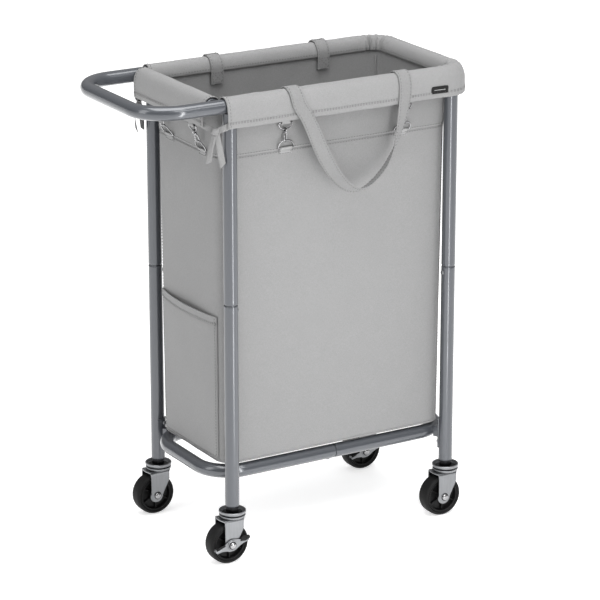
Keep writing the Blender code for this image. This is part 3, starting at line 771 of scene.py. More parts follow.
def build_lower_ring():
    """Two U halves; a narrower neck shows as a dark line between their eased ends."""
    for name, side in (("lower_ring_left", -1), ("lower_ring_right", 1)):
        points = half_frame_path(side, RING_X, RING_Y, RING_Z, RING_BEND_R, side * 0.0007)
        shape = Shape().tube(points, TUBE_R, (0, 0, 1), 36, scales=tube_end_cut(points))
        if side < 0:
            for sign in (-1, 1):
                neck = [Vector((x, sign * RING_Y, RING_Z)) for x in (-0.004, 0.004)]
                shape.tube(neck, TUBE_R * 0.86, (0, 0, 1), 28)
        piece(f"{name}_tube", shape, STEEL, "root", [name])
    for side, sign in (("front", -1), ("back", 1)):
        at = shifted(-0.012, sign * RING_Y, RING_Z - TUBE_R + 0.0003) @ turned(180, "X")
        piece(f"ring_screw_head_{side}", screw_head(at), ZINC, "root", [f"ring_screw_{side}"])


def screw_head(at, radius=0.0042):
    """A pan head with a cross recess, standing on z = 0."""
    profile = [(0, 0.0021), (radius * 0.35, 0.0021), (radius * 0.75, 0.0018), (radius * 0.95, 0.0011)]
    profile += [(radius, 0.0004), (radius, -0.0006)]
    shape = Shape().turn(profile[::-1], at, 24)
    half, thin = radius * 0.55, 0.00045
    corners = [(x * half, y * thin, 0.0002) for x, y in ((-1, -1), (1, -1), (1, 1), (-1, 1))]
    for degrees in (0, 90):
        slot_at = at @ shifted(0, 0, 0.00195) @ turned(degrees, "Z")
        shape.plate(rounded_outline(corners, 2), 0.0006, slot_at, 0.0001)
    return shape


def build_post(corner, sign_x, sign_y):
    """An upper and a lower tube that meet at a narrow dark seam over the neck inside."""
    at = shifted(sign_x * POST_X, sign_y * POST_Y, 0)
    bore = TUBE_R - 0.0015
    bottom = SEAM_Z + 0.0008
    upper = [
        (bore, POST_TOP_Z),
        (bore, bottom),
        (TUBE_R - 0.0011, bottom),
        (TUBE_R - 0.0004, bottom + 0.0004),
        (TUBE_R, bottom + 0.0012),
        (TUBE_R, bottom + 0.003),
        (TUBE_R, POST_TOP_Z - 0.003),
        (TUBE_R, POST_TOP_Z),
    ]
    shape = Shape().turn(upper, at, 40, closed=True)
    piece(f"upper_post_tube_{corner}", shape, STEEL, "root", [f"upper_post_{corner}"])
    top = SEAM_Z - 0.0009
    neck = TUBE_R * 0.848
    lower = [
        (bore, POST_BOTTOM_Z),
        (TUBE_R - 0.0006, POST_BOTTOM_Z),
        (TUBE_R, POST_BOTTOM_Z + 0.0008),
        (TUBE_R, POST_BOTTOM_Z + 0.003),
        (TUBE_R, top - 0.003),
        (TUBE_R, top - 0.0012),
        (TUBE_R - 0.0004, top - 0.0004),
        (TUBE_R - 0.0011, top),
        (neck, top),
        (neck, SEAM_Z + 0.028),
        (neck - 0.0015, SEAM_Z + 0.028),
        (neck - 0.0015, top - 0.003),
        (bore, top - 0.006),
    ]
    shape = Shape().turn(lower, at, 40, closed=True)
    piece(f"lower_post_tube_{corner}", shape, STEEL, "root", [f"lower_post_{corner}"])
    screw_at = shifted(sign_x * (POST_X - TUBE_R), sign_y * POST_Y, SEAM_Z - 0.012)
    shape = screw_head(screw_at @ turned(-sign_x * 90, "Y"))
    piece(f"post_screw_head_{corner}", shape, ZINC, "root", [f"post_screw_{corner}"])


SADDLE_BOLT = [
    (0, -0.0006), (0.0038, -0.0004), (0.004, 0.0004), (0.0038, 0.0014),
    (0.0028, 0.0027), (0.0012, 0.0033), (0, 0.0034),
]


def build_saddle(corner, sign_x, sign_y):
    """The bracket between a post and the ring: a band on the post, a web to the ring and two bolts."""
    centre = Vector((sign_x * POST_X, sign_y * POST_Y, RING_Z))
    bend_centre = Vector((sign_x * (RING_X - RING_BEND_R), sign_y * (RING_Y - RING_BEND_R), RING_Z))
    inward = bend_centre - centre
    at = Matrix.Translation(centre) @ Matrix.Rotation(math.atan2(inward.y, inward.x), 4, "Z")
    inner = TUBE_R + 0.0003
    outer = inner + 0.0024
    reach = inward.length - RING_BEND_R - TUBE_R + 0.0004
    band_height, web_height, web_half = 0.056, 0.02, 0.005
    wrap_deg = 50
    band = arc((0, 0), inner, -wrap_deg, wrap_deg, 18) + arc((0, 0), outer, wrap_deg, -wrap_deg, 18)
    shape = Shape().plate(band[::-1], band_height, at, 0.0005)
    near = outer - 0.0012
    web = [(near, -web_half), (reach, -web_half), (reach, web_half), (near, web_half)]
    shape.plate(web, web_height, at, 0.0005)
    piece(f"ring_saddle_bracket_{corner}", shape, STEEL, "root", [f"ring_saddle_{corner}"])
    bolts = Shape()
    for height in (-0.0195, 0.0195):
        bolts.turn(SADDLE_BOLT, at @ shifted(outer, 0, height) @ turned(90, "Y"), 20)
    piece(f"saddle_bolts_{corner}", bolts, ZINC, "root")


build_rails()
build_lower_ring()
for corner_name, (corner_x, corner_y) in CORNERS.items():
    build_post(corner_name, corner_x, corner_y)
    build_saddle(corner_name, corner_x, corner_y)


# Casters, each made about its own swivel axis


def caster_mount():
    """A rolled race bowl and the kingpin through it, which stay still on the post."""
    shape = Shape()
    rim = RACE_TOP_Z + 0.0078
    race = [
        (0.004, RACE_TOP_Z + 0.0008),
        (RACE_R - 0.004, RACE_TOP_Z + 0.0004),
        (RACE_R - 0.0016, RACE_TOP_Z + 0.0012),
        (RACE_R - 0.0004, RACE_TOP_Z + 0.003),
        (RACE_R + 0.0002, rim - 0.0022),
        (RACE_R + 0.0, rim - 0.0008),
        (RACE_R - 0.0008, rim - 0.0001),
        (RACE_R - 0.0018, rim),
        (RACE_R - 0.0028, rim - 0.0006),
        (RACE_R - 0.0034, rim - 0.002),
        (RACE_R - 0.0042, rim - 0.0036),
        (RACE_R - 0.0062, RACE_TOP_Z + 0.0022),
        (0.004, RACE_TOP_Z + 0.0018),
    ]
    shape.turn(race, steps=56, closed=True)
    pin = [(0, FORK_TOP_Z - 0.006), (0.005, FORK_TOP_Z - 0.0058), (0.007, FORK_TOP_Z - 0.0046),
           (0.0074, FORK_TOP_Z - 0.0036), (0.004, FORK_TOP_Z - 0.0034), (0.004, RACE_TOP_Z + 0.0045),
           (0, RACE_TOP_Z + 0.0045)]
    return shape.turn(pin, steps=32)


def caster_nut():
    """The dark stem collar and nut in the bowl, with the washer that they press on."""
    shape = Shape()
    top = POST_BOTTOM_Z + 0.001
    collar = [(0, top - 0.004), (0.0112, top - 0.004), (0.0118, top - 0.0034), (0.0118, top - 0.0008),
              (0.01, top), (0.01, top + 0.018), (0, top + 0.018)]
    shape.turn(collar, steps=40)
    nut_top = top - 0.004
    nut = [(0, nut_top - 0.0062), (0.0122, nut_top - 0.0062), (0.0128, nut_top - 0.0056),
           (0.0128, nut_top - 0.001), (0.0118, nut_top), (0, nut_top)]
    shape.turn(nut, steps=6)
    low = RACE_TOP_Z + 0.0019
    washer = [(0.004, low), (RACE_R - 0.0066, low + 0.0001), (RACE_R - 0.006, low + 0.0008),
              (RACE_R - 0.0068, low + 0.0014), (0.004, low + 0.0014)]
    shape.turn(washer, steps=48, closed=True)
    return shape


def fork_edges(height, across):
    """The fork's back and front edges at a height; across is 0 in the leg and 1 on top."""
    back_top, ahead_top = -0.0245, 0.0128
    eye_x = AXLE.x - 0.002
    eye_r = 0.0125
    if height >= AXLE.z + 0.004:
        part = (height - AXLE.z) / (FORK_TOP_Z - AXLE.z)
        ahead = mix(eye_x + eye_r, ahead_top, min(1.0, part / 0.62)) + across * 0.0085
        return back_top, ahead
    below = AXLE.z - height
    chord = math.sqrt(max(0.0, eye_r**2 - max(below, 0.0) ** 2))
    square = ease((below + 0.004) / 0.004)
    return mix(back_top, eye_x - chord, square), eye_x + chord


FORK_BOSS = [(0.0048, 0.0), (0.0078, 0.0), (0.0074, 0.0004), (0.0066, 0.0006), (0.0048, 0.0006)]


def fork_shape():
    """A pressed U: two tapered legs and a top plate in one bent sheet, with the lower race on top."""
    shape = Shape()
    bend = 0.0042
    outer_y = FORK_INNER_Y + FORK_SHEET
    eye_drop = 0.0124
    low = AXLE.z - eye_drop
    leg_heights = [low + eye_drop * (1 - math.cos(math.radians(a))) for a in range(0, 91, 10)]
    leg_heights += even_steps(AXLE.z + 0.004, FORK_TOP_Z - bend, 0.004)
    section = [(-outer_y, height, 0.0) for height in leg_heights]
    for y, z in arc((-(outer_y - bend), FORK_TOP_Z - bend), bend, 180, 90, 6)[1:]:
        section.append((y, z, (z - FORK_TOP_Z + bend) / bend))
    for y in even_steps(-(outer_y - bend), outer_y - bend, 0.003)[1:]:
        section.append((y, FORK_TOP_Z, 1.0))
    for y, z in arc((outer_y - bend, FORK_TOP_Z - bend), bend, 90, 0, 6)[1:]:
        section.append((y, z, (z - FORK_TOP_Z + bend) / bend))
    section += [(outer_y, height, 0.0) for height in leg_heights[::-1][1:]]
    columns = 14

    def sheet(depth):
        rows = []
        for y, z, top in section:
            across = ease(top) * (1 - (abs(y) / outer_y) ** 2)
            back, ahead = fork_edges(z, across)
            back -= 0.0042 * across
            side = -1 if y < 0 else 1
            flat = Vector((0, side * (1 - top), top))
            inward = flat.normalized() * depth
            steps = [mix(back, ahead, c / columns) for c in range(columns + 1)]
            rows.append([Vector((x, y, z)) - inward for x in steps])
        return rows

    outer, inner = sheet(0.0), sheet(FORK_SHEET)
    loop_rows = [a + b[::-1] for a, b in zip(outer, inner)]
    shape.grid([row[::-1] for row in loop_rows], wrap_columns=True, caps=True)
    race = [
        (RACE_R - 0.0062, FORK_TOP_Z - 0.0004),
        (RACE_R - 0.003, FORK_TOP_Z - 0.0002),
        (RACE_R - 0.0014, FORK_TOP_Z + 0.001),
        (RACE_R - 0.0006, FORK_TOP_Z + 0.003),
        (RACE_R - 0.0008, FORK_TOP_Z + 0.0046),
        (RACE_R - 0.0022, FORK_TOP_Z + 0.0053),
        (RACE_R - 0.0044, FORK_TOP_Z + 0.005),
        (RACE_R - 0.0062, FORK_TOP_Z + 0.003),
    ]
    shape.turn(race, steps=56, closed=True)
    for sign in (-1, 1):
        boss_at = shifted(AXLE.x, sign * (outer_y - 0.0002), AXLE.z) @ turned(-sign * 90, "X")
        shape.turn(FORK_BOSS, boss_at, 36, closed=True)
    return shape


def wheel_at():
    return Matrix.Translation(AXLE) @ turned(90, "X")


def tyre_shape():
    """A solid tread with eased shoulders and a flat crown."""
    half = WHEEL_HALF
    right = [
        (HUB_R + 0.0004, half - 0.0026),
        (HUB_R + 0.0014, half - 0.0014),
        (WHEEL_R - 0.0046, half - 0.0002),
        (WHEEL_R - 0.0034, half - 0.0004),
        (WHEEL_R - 0.0014, half - 0.002),
        (WHEEL_R - 0.0004, half - 0.0042),
        (WHEEL_R, half - 0.0072),
    ]
    loop = [(r, -z) for r, z in right] + [(WHEEL_R, 0.0)] + right[::-1]
    return Shape().turn(loop, wheel_at(), 72, closed=True)


def hub_shape():
    """A recessed disc with rim, boss and six ribs on each side."""
    half = WHEEL_HALF
    rim = HUB_R + 0.0002
    right = [
        (0.0046, half - 0.0002),
        (0.0092, half - 0.0002),
        (0.01, half - 0.001),
        (0.011, 0.005),
        (rim - 0.0042, 0.005),
        (rim - 0.0032, 0.0066),
        (rim - 0.0026, half - 0.0022),
        (rim - 0.0018, half - 0.0015),
        (rim, half - 0.0019),
    ]
    shape = Shape().turn([(r, -z) for r, z in right] + right[::-1], wheel_at(), 64, closed=True)
    ribs = 6
    near, far, thin = 0.0098, rim - 0.003, 0.0009
    rib_outline = [(near, -thin), (far, -thin), (far, thin), (near, thin)]
    for side in (-1, 1):
        for rib in range(ribs):
            turn = Matrix.Rotation(2 * math.pi * (rib + 0.5) / ribs, 4, "Z")
            shape.plate(rib_outline, 0.0052, wheel_at() @ turn @ shifted(0, 0, side * 0.0072), 0.0003)
    return shape


WASHER = [
    (0.004, 0.0), (0.0068, 0.0), (0.0071, 0.0003), (0.0071, 0.0008), (0.0068, 0.001), (0.004, 0.001),
]
BOLT_HEAD = [
    (0, 0.0008), (0.0056, 0.0009), (0.006, 0.0014), (0.0058, 0.0022),
    (0.0048, 0.0034), (0.003, 0.0042), (0, 0.0045),
]
FORK_FACE = FORK_INNER_Y + FORK_SHEET + 0.0004


def axle_front(braked):
    """The height of the front washer's face over the wheel's middle plane."""
    return FORK_FACE + (0.0032 if braked else 0.0)


def axle_shape(braked):
    """The bolt's shank, its nut at the back and a washer under each end."""
    front, back = axle_front(braked), -FORK_FACE
    at = wheel_at()
    shank = [(0, back - 0.0044), (0.0034, back - 0.0044), (0.0038, back - 0.004),
             (0.0038, front + 0.001), (0, front + 0.001)]
    shape = Shape().turn(shank, at, 28)
    shape.turn([(r, front + z) for r, z in WASHER], at, 36, closed=True)
    shape.turn([(r, back - z) for r, z in WASHER[::-1]], at, 36, closed=True)
    nut = [(0, back - 0.004), (0.0052, back - 0.004), (0.006, back - 0.0034), (0.006, back - 0.0012),
           (0.0052, back - 0.0009), (0, back - 0.0009)]
    return shape.turn(nut, at, 6)


def axle_head_shape(braked):
    """The bolt's bright domed head."""
    return Shape().turn([(r, axle_front(braked) + z) for r, z in BOLT_HEAD], wheel_at(), 32)


LEVER_REACH = 0.034


def lever_at():
    return shifted(AXLE.x, 0, AXLE.z) @ turned(-LEVER_TILT_DEG, "Y")


def lever_section(x):
    """Half width above and below the lever's middle line at x along it."""
    reach = abs(x) / LEVER_REACH
    width = mix(0.0108, 0.0034, ease(reach / 0.72))
    return width * (1.0 if reach < 0.93 else math.sqrt(max(0.02, 1 - ((reach - 0.93) / 0.07) ** 2)))


def lever_shape():
    """A stamped two-armed lever, bowed off the fork, with both tips turned in over the wheel."""
    at = lever_at()
    thickness = 0.002
    shape = Shape()
    rows = []
    for x in even_steps(-LEVER_REACH, LEVER_REACH, 0.0017):
        half = lever_section(x)
        bow = 0.0026 * ease((abs(x) - 0.01) / 0.012)
        tip = ease((abs(x) - 0.019) / 0.012)
        row = []
        for step in range(11):
            part = step / 10 * 2 - 1
            z = part * half
            lip = 0.0062 * tip * max(0.0, (part + 0.1) / 1.1) ** 2
            dish = 0.0007 * bump_at(x, 0, 0.009) * (1 - part * part)
            row.append((x, -(LEVER_Y + thickness / 2) - bow * 0.4 + lip + dish, z))
        rows.append(row)
    outer = [[Vector((x, y, z)) for x, y, z in row] for row in rows]
    inner = [[Vector((x, y + thickness, z)) for x, y, z in row] for row in rows]
    loops = [[at @ p for p in a + b[::-1]] for a, b in zip(outer, inner)]
    shape.grid([row[::-1] for row in loops], wrap_columns=True, caps=True)
    ridge = [(0.0062, 0.0), (0.0092, 0.0), (0.0088, 0.0006), (0.0078, 0.0009), (0.0066, 0.0006)]
    boss_at = at @ shifted(0, -(LEVER_Y + thickness / 2) - 0.0002, 0) @ turned(90, "X")
    shape.turn(ridge, boss_at, 36, closed=True)
    return shape


PAD_LEAN = 0.25
HEEL_PAD = [
    # x, up, corner radius
    (0.0165, 0.001, 0.001), (0.027, -0.0016, 0.003), (0.0362, 0.0004, 0.002),
    (0.0366, 0.006, 0.0028), (0.024, 0.0082, 0.003), (0.017, 0.006, 0.0015),
]
TOE_PAD = [
    (-0.032, 0.0006, 0.001), (-0.0135, 0.003, 0.001),
    (-0.0125, 0.0062, 0.0014), (-0.031, 0.0048, 0.0018),
]


def lever_pad(side):
    """The dark moulded pad along the upper edge of one tip of the lever."""
    pad_at = lever_at() @ shifted(0, -LEVER_Y - 0.0006, 0) @ Matrix.Rotation(math.pi / 2 - PAD_LEAN, 4, "X")
    outline = rounded_outline(HEEL_PAD if side > 0 else TOE_PAD, 4)
    shape = Shape().plate(outline, 0.006, pad_at, 0.0012)
    for rib in range(3):
        x = side * (0.0225 + rib * 0.0034)
        sides = ((-0.0006, 0.0016), (0.0006, 0.0016), (0.0006, 0.0042), (-0.0006, 0.0042))
        bar = rounded_outline([(x + dx, y, 0.0004) for dx, y in sides], 2)
        shape.plate(bar, 0.001, pad_at @ shifted(0, 0, 0.0031), 0.0003)
    return shape


def build_caster(corner, sign_x, sign_y):
    at = shifted(sign_x * POST_X, sign_y * POST_Y, 0)
    brake = f"brake_{corner}"
    braked = brake in frame["bodies"]
    swivel, wheel = f"swivel_{corner}", f"wheel_{corner}"
    parts = [
        ("caster_race", caster_mount(), ZINC, "root", "zinc", ["caster_mount"]),
        ("caster_nut", caster_nut(), DARK_ZINC, "root", "zinc", []),
        ("caster_fork", fork_shape(), ZINC, swivel, "zinc", ["fork"]),
        ("axle_bolt", axle_shape(braked), DARK_ZINC, swivel, "zinc", ["axle"]),
        ("axle_head", axle_head_shape(braked), CHROME, swivel, "chrome", []),
        ("wheel_tyre", tyre_shape(), BLACK_RUBBER, wheel, "rubber", ["tyre"]),
        ("wheel_core", hub_shape(), BLACK_PLASTIC, wheel, "black_plastic", ["wheel_hub"]),
    ]
    if braked:
        parts.append(("brake_arm", lever_shape(), ZINC, brake, "zinc", ["brake_lever"]))
        for label, side in (("toe", -1), ("heel", 1)):
            parts.append((f"brake_pad_{label}", lever_pad(side), BLACK_PLASTIC, brake, "black_plastic", []))
    for name, shape, material, body, slot, nodes in parts:
        piece(f"{name}_{corner}", shape, material, body, [f"{node}_{corner}" for node in nodes], at=at)


for corner_name, (corner_x, corner_y) in CORNERS.items():
    build_caster(corner_name, corner_x, corner_y)


# Cloth bag

CLOTH_THICK = 0.0014
BAG_CORNER_R = 0.024
LOW_CORNER_R = 0.03
BAG_INSET = 0.0014
BAG_REFERENCE = Vector((0.231, 0.12, 0.0))
BAG_FILLET = 0.008
BAND_Z = 0.729
HOOK_PULL_X = (-0.109, 0.133)
FRONT_RUN = 2 * (BAG_REFERENCE.x - BAG_CORNER_R)
SIDE_RUN = 2 * (BAG_REFERENCE.y - BAG_CORNER_R)
CORNER_RUN = math.pi / 2 * BAG_CORNER_R
BAG_ROUND = 2 * (FRONT_RUN + SIDE_RUN) + 4 * CORNER_RUN
LEFT_START = BAG_ROUND - CORNER_RUN - SIDE_RUN


def bag_spot(u):
    """Where u metres round the bag lies: corner-centre weights in X and Y, and the outward direction."""
    u = u % BAG_ROUND
    corner_x, corner_y, facing = -1.0, -1.0, -90.0
    for run, step_x, step_y in ((FRONT_RUN, 1, 0), (SIDE_RUN, 0, 1), (FRONT_RUN, -1, 0), (SIDE_RUN, 0, -1)):
        if u <= run:
            part = 2 * u / run
            turn = math.radians(facing)
            return corner_x + step_x * part, corner_y + step_y * part, math.cos(turn), math.sin(turn)
        u -= run
        corner_x += 2 * step_x
        corner_y += 2 * step_y
        if u <= CORNER_RUN:
            turn = math.radians(facing + 90 * u / CORNER_RUN)
            return corner_x, corner_y, math.cos(turn), math.sin(turn)
        u -= CORNER_RUN
        facing += 90.0
    return -1.0, -1.0, 0.0, -1.0


def front_u(x, z):
    """The distance round the bag of a point at x on its front wall."""
    half_x = mix(BAG_FLOOR_X, BAG_HIGH.x, (z - BAG_LOW.z) / (BAG_HIGH.z - BAG_LOW.z)) - BAG_CORNER_R
    return (x / half_x + 1) / 2 * FRONT_RUN


def back_u(x, z):
    return 2 * FRONT_RUN + SIDE_RUN + 2 * CORNER_RUN - front_u(x, z)


def left_u(y):
    return LEFT_START + SIDE_RUN / 2 - y


def right_u(y):
    return FRONT_RUN + CORNER_RUN + SIDE_RUN / 2 + y


def bag_relief(corner_x, corner_y, x, y, z):
    """How far the cloth stands out from the straight wall: belly, soft unevenness, band and creases."""
    across = corner_x if abs(corner_y) >= 1 else corner_y
    flat = max(0.0, 1 - across * across) if min(abs(corner_x), abs(corner_y)) < 1 else 0.0
    up = (z - BAG_LOW.z) / (BAND_Z - BAG_LOW.z)
    swell = math.sin(math.pi * min(max(up, 0.0), 1.0)) ** 0.8
    depth = 0.004 if abs(corner_y) >= 1 else 0.0032
    out = depth * flat**0.7 * swell
    loose = 0.35 + 0.65 * flat
    out += 0.0012 * loose * ripple(x * 8 + y * 8, z * 6, 1.0)
    out += 0.0005 * loose * ripple(x * 24 + y * 24, z * 15, 5.0)
    below_band = ease((z - 0.6) / 0.12) * ease((0.8 - z) / 0.03)
    out += 0.0011 * loose * ripple((x + y) * 30, z * 3.5, 9.0) * below_band
    out += 0.0008 * ripple((x + y) * 22, z * 5, 3.0) * ease((0.235 - z) / 0.05)
    out += 0.0009 * ease((z - BAND_Z) / 0.0015)
    out -= 0.001 * bump_at(z, BAND_Z, 0.0016)
    for hook_x in HOOK_PULL_X:
        near = bump_at(x, hook_x, 0.02) if abs(corner_y) >= 1 else 0.0
        out += near * (0.0013 * bump_at(z, 0.735, 0.012) - 0.0012 * bump_at(z, 0.706, 0.014))
    return out


def bag_surface(u, z):
    """The bag's outer face, u metres round it from the front's left end, at height z."""
    corner_x, corner_y, nx, ny = bag_spot(u)
    part = (z - BAG_LOW.z) / (BAG_HIGH.z - BAG_LOW.z)
    snug = 1 - ease((z - 0.735) / 0.045)
    radius = mix(BAG_CORNER_R, LOW_CORNER_R, snug)
    inset = radius + BAG_INSET * snug
    x = corner_x * (mix(BAG_FLOOR_X, BAG_HIGH.x, part) - inset) + nx * radius
    y = corner_y * (mix(BAG_FLOOR_Y, BAG_HIGH.y, part) - inset) + ny * radius
    out = bag_relief(corner_x, corner_y, x, y, z)
    return Vector((x + nx * out, y + ny * out, z))


def bag_floor_row(columns, inward, z):
    """A level row of the floor, moved inwards from the walls."""
    row = []
    for u in columns:
        corner_x, corner_y, nx, ny = bag_spot(u)
        radius = max(LOW_CORNER_R - inward, 0.0)
        spare = max(inward - LOW_CORNER_R, 0.0)
        x = corner_x * (BAG_FLOOR_X - BAG_INSET - LOW_CORNER_R - spare) + nx * radius
        y = corner_y * (BAG_FLOOR_Y - BAG_INSET - LOW_CORNER_R - spare) + ny * radius
        row.append(Vector((x, y, z)))
    return row


def build_bag():
    columns = even_steps(0.0, BAG_ROUND, 0.0055)[:-1]
    rows = [bag_floor_row(columns, inward, BAG_LOW.z) for inward in (0.085, 0.05, 0.02, BAG_FILLET)]
    for angle in (22, 45, 67):
        turn = math.radians(angle)
        inward = BAG_FILLET * (1 - math.sin(turn))
        rows.append(bag_floor_row(columns, inward, BAG_LOW.z + BAG_FILLET * (1 - math.cos(turn))))
    heights = even_steps(BAG_LOW.z + BAG_FILLET, BAND_Z - 0.004, 0.0055)
    heights += even_steps(BAND_Z - 0.003, BAND_Z + 0.003, 0.001)
    heights += even_steps(BAND_Z + 0.006, BAG_HIGH.z, 0.005)
    rows += [[bag_surface(u, z) for u in columns] for z in heights]
    shape = Shape().grid(rows, wrap_columns=True)
    floor_ring = [v for v in shape.work.verts if v.is_boundary and v.co.z < BAG_LOW.z + 0.001]
    floor = shape.work.faces.new(sorted(floor_ring, key=lambda v: -math.atan2(v.co.y, v.co.x)))
    floor.smooth = True
    bag = piece("bag_cloth", shape, CLOTH, "root", ["bag_body"], sharp_deg=70)
    thicken(bag, CLOTH_THICK)
    seams = Shape()
    for height in (BAND_Z - 0.0032, BAND_Z + 0.0034):
        seams.sew(bag_surface, [(0.0, height), (BAG_ROUND, height)])
    first = FRONT_RUN + CORNER_RUN / 2
    second = first + SIDE_RUN + CORNER_RUN
    third = first + SIDE_RUN + FRONT_RUN + 2 * CORNER_RUN
    corners = (first, second, third, BAG_ROUND - CORNER_RUN / 2)
    for u in corners:
        seams.sew(bag_surface, [(u + 0.0042, BAG_LOW.z + 0.02), (u + 0.0042, 0.8)])
    stitches = piece("bag_stitches", seams, THREAD, "root")
    cords = Shape()
    edge = [bag_surface(u, BAG_LOW.z + BAG_FILLET * 0.55) for u in even_steps(0.0, BAG_ROUND, 0.006)[:-1]]
    edge = [point - Vector((point.x, point.y, 0)).normalized() * 0.001 for point in edge]
    cords.tube(edge, 0.0019, (0, 0, 1), 12, closed=True)
    for u in corners:
        upright = [bag_surface(u, z) for z in even_steps(BAG_LOW.z + 0.012, 0.806, 0.012)]
        cords.tube(upright, 0.0012, (1, 0, 0), 10)
        inward = Vector(bag_spot(u)[2:] + (0,)) * (CLOTH_THICK + 0.0012)
        cords.tube([point - inward for point in upright], 0.0019, (1, 0, 0), 10)
    piping = piece("bag_piping", cords, CLOTH, "root", sharp_deg=70)
    return bag, [stitches, piping]


def build_board():
    """The stiff floor panel, covered in a coated cloth."""
    low, high = local_box("base_board")
    half_x, half_y = high.x - 0.0004, high.y - 0.0004
    corners = [(-half_x, -half_y), (half_x, -half_y), (half_x, half_y), (-half_x, half_y)]
    outline = rounded_outline([(x, y, 0.029) for x, y in corners], 12)
    at = shifted(0, 0, (low.z + high.z) / 2)
    shape = Shape().plate(outline, high.z - low.z, at, 0.0008)
    top = high.z + 0.0001

    def face(u, v):
        return Vector((u, v, top))

    edge = 0.008
    u, v = half_x - edge, half_y - edge
    shape.sew(face, [(-u, -v), (u, -v), (u, v), (-u, v), (-u, -v)])
    piece("base_board_panel", shape, DARK_CLOTH, "root", ["base_board"])


# Flaps folded over the rails

RIM_SECTION = [
    (0.0176, -0.036), (0.0182, -0.029), (0.0184, -0.019), (0.0179, -0.007), (0.016, 0.0024),
    (0.0124, 0.0096), (0.007, 0.0142), (0.0, 0.0157), (-0.0068, 0.0142), (-0.0123, 0.0098),
    (-0.016, 0.0025), (-0.0173, -0.004), (-0.0174, -0.01),
]
LEFT_SECTION = [
    (0.0172, -0.036), (0.0183, -0.028), (0.0186, -0.017), (0.0182, -0.006), (0.0163, 0.0026),
    (0.0126, 0.0098), (0.007, 0.0143), (0.0, 0.0157), (-0.0076, 0.0144), (-0.0136, 0.0098),
    (-0.0177, 0.0024), (-0.0189, -0.004), (-0.019, -0.01),
]


LEFT_FLAP_SPARE = 0.0022


class Flap:
    """A strip of cloth bent over a rail: u runs along it, v from the outer hem to the inner one."""

    def __init__(self, path, section, bends=(), seed=0.0):
        self.path = Line(path)
        self.section = Line(smooth_curve([(out, up, 0) for out, up in section], 8))
        self.bends = bends
        self.seed = seed
        self.width = self.path.length
        self.depth = self.section.length

    def __call__(self, u, v):
        along = self.path.along(u, 0.004)
        out = along.cross(UP)
        spot = self.section.at(v)
        rising = self.section.along(v)
        lift = self.relief(u, v, spot)
        reach = spot.x + rising.y * lift
        height = spot.y - rising.x * lift
        hang = ease((-height + 0.002) / 0.034) if spot.x > 0 else 0.0
        wave = hang * 0.0018 * ripple(u * 11, self.seed, 2.0)
        reach += wave + hang**2 * 0.001 * ripple(u * 31, self.seed, 7.0)
        height += hang * 0.0011 * ripple(u * 9, self.seed, 4.0)
        extra = u - min(max(u, 0.0), self.width)
        return self.path.at(u) + along * extra + out * reach + UP * height

    def relief(self, u, v, spot):
        lift = 0.00055 * ripple(u * 26, v * 40, self.seed) + 0.0003 * ripple(u * 70, v * 60, self.seed + 3)
        lift += 0.00045 * (1 - ease((v - 0.0105) / 0.0014)) - 0.0004 * bump_at(v, 0.0122, 0.0012)
        lift += 0.0004 * (1 - ease((min(u, self.width - u) - 0.0075) / 0.0014))
        for start, end in self.bends:
            inside = ease((u - start + 0.02) / 0.02) * ease((end + 0.02 - u) / 0.02)
            fold = math.sin((u - start) * 2 * math.pi / 0.0105 + 2.0 * ripple(u * 30, v * 30, 6.0))
            lift += inside * (0.0008 + 0.0013 * ease((0.004 - spot.x) / 0.012)) * fold
        return lift


def build_flap(name, flap, node, stitch_name):
    columns = even_steps(0.0, flap.width, 0.0042)
    levels = even_steps(0.0, 0.0155, 0.0012) + even_steps(0.0185, flap.depth, 0.003)
    shape = Shape().grid([[flap(u, v) for u in columns] for v in levels])
    cloth = piece(name, shape, CLOTH, "root", [node], sharp_deg=70)
    thicken(cloth, 0.0016)
    seams = Shape()
    for v in (0.0085, 0.0106):
        seams.sew(flap, [(0.002, v), (flap.width - 0.002, v)])
    inner = flap.depth - 0.006
    seams.sew(flap, [(0.002, inner), (flap.width - 0.002, inner)])
    for u in (0.005, flap.width - 0.005):
        seams.sew(flap, [(u, 0.003), (u, flap.depth - 0.003)])
    stitches = piece(stitch_name, seams, THREAD, "root")
    return cloth, stitches


def rim_flap():
    start_x = FLAP_LOW.x
    path = rounded_path(
        [((start_x, -POST_Y, RAIL_Z), 0), ((RIM_END_X, -POST_Y, RAIL_Z), RIM_BEND_R),
         ((RIM_END_X, POST_Y, RAIL_Z), RIM_BEND_R), ((start_x, POST_Y, RAIL_Z), 0)], 36)
    straight = RIM_END_X - RIM_BEND_R - start_x
    bend = math.pi / 2 * RIM_BEND_R
    side = 2 * (POST_Y - RIM_BEND_R)
    bends = ((straight, straight + bend), (straight + bend + side, straight + 2 * bend + side))
    return Flap(path, RIM_SECTION, bends, 11.0)


def left_flap():
    low, high = local_box("left_flap")
    ends = [Vector((CROSS_BAR_X, y, RAIL_Z)) for y in (high.y + LEFT_FLAP_SPARE, low.y - LEFT_FLAP_SPARE)]
    return Flap(ends, LEFT_SECTION, (), 23.0)


RIM_FLAP = rim_flap()
LEFT_FLAP = left_flap()


# Pocket on the handle end

POCKET_EDGE = 0.0084
POCKET_U0 = LEFT_START - POCKET_EDGE
POCKET_WIDTH = SIDE_RUN + 2 * POCKET_EDGE


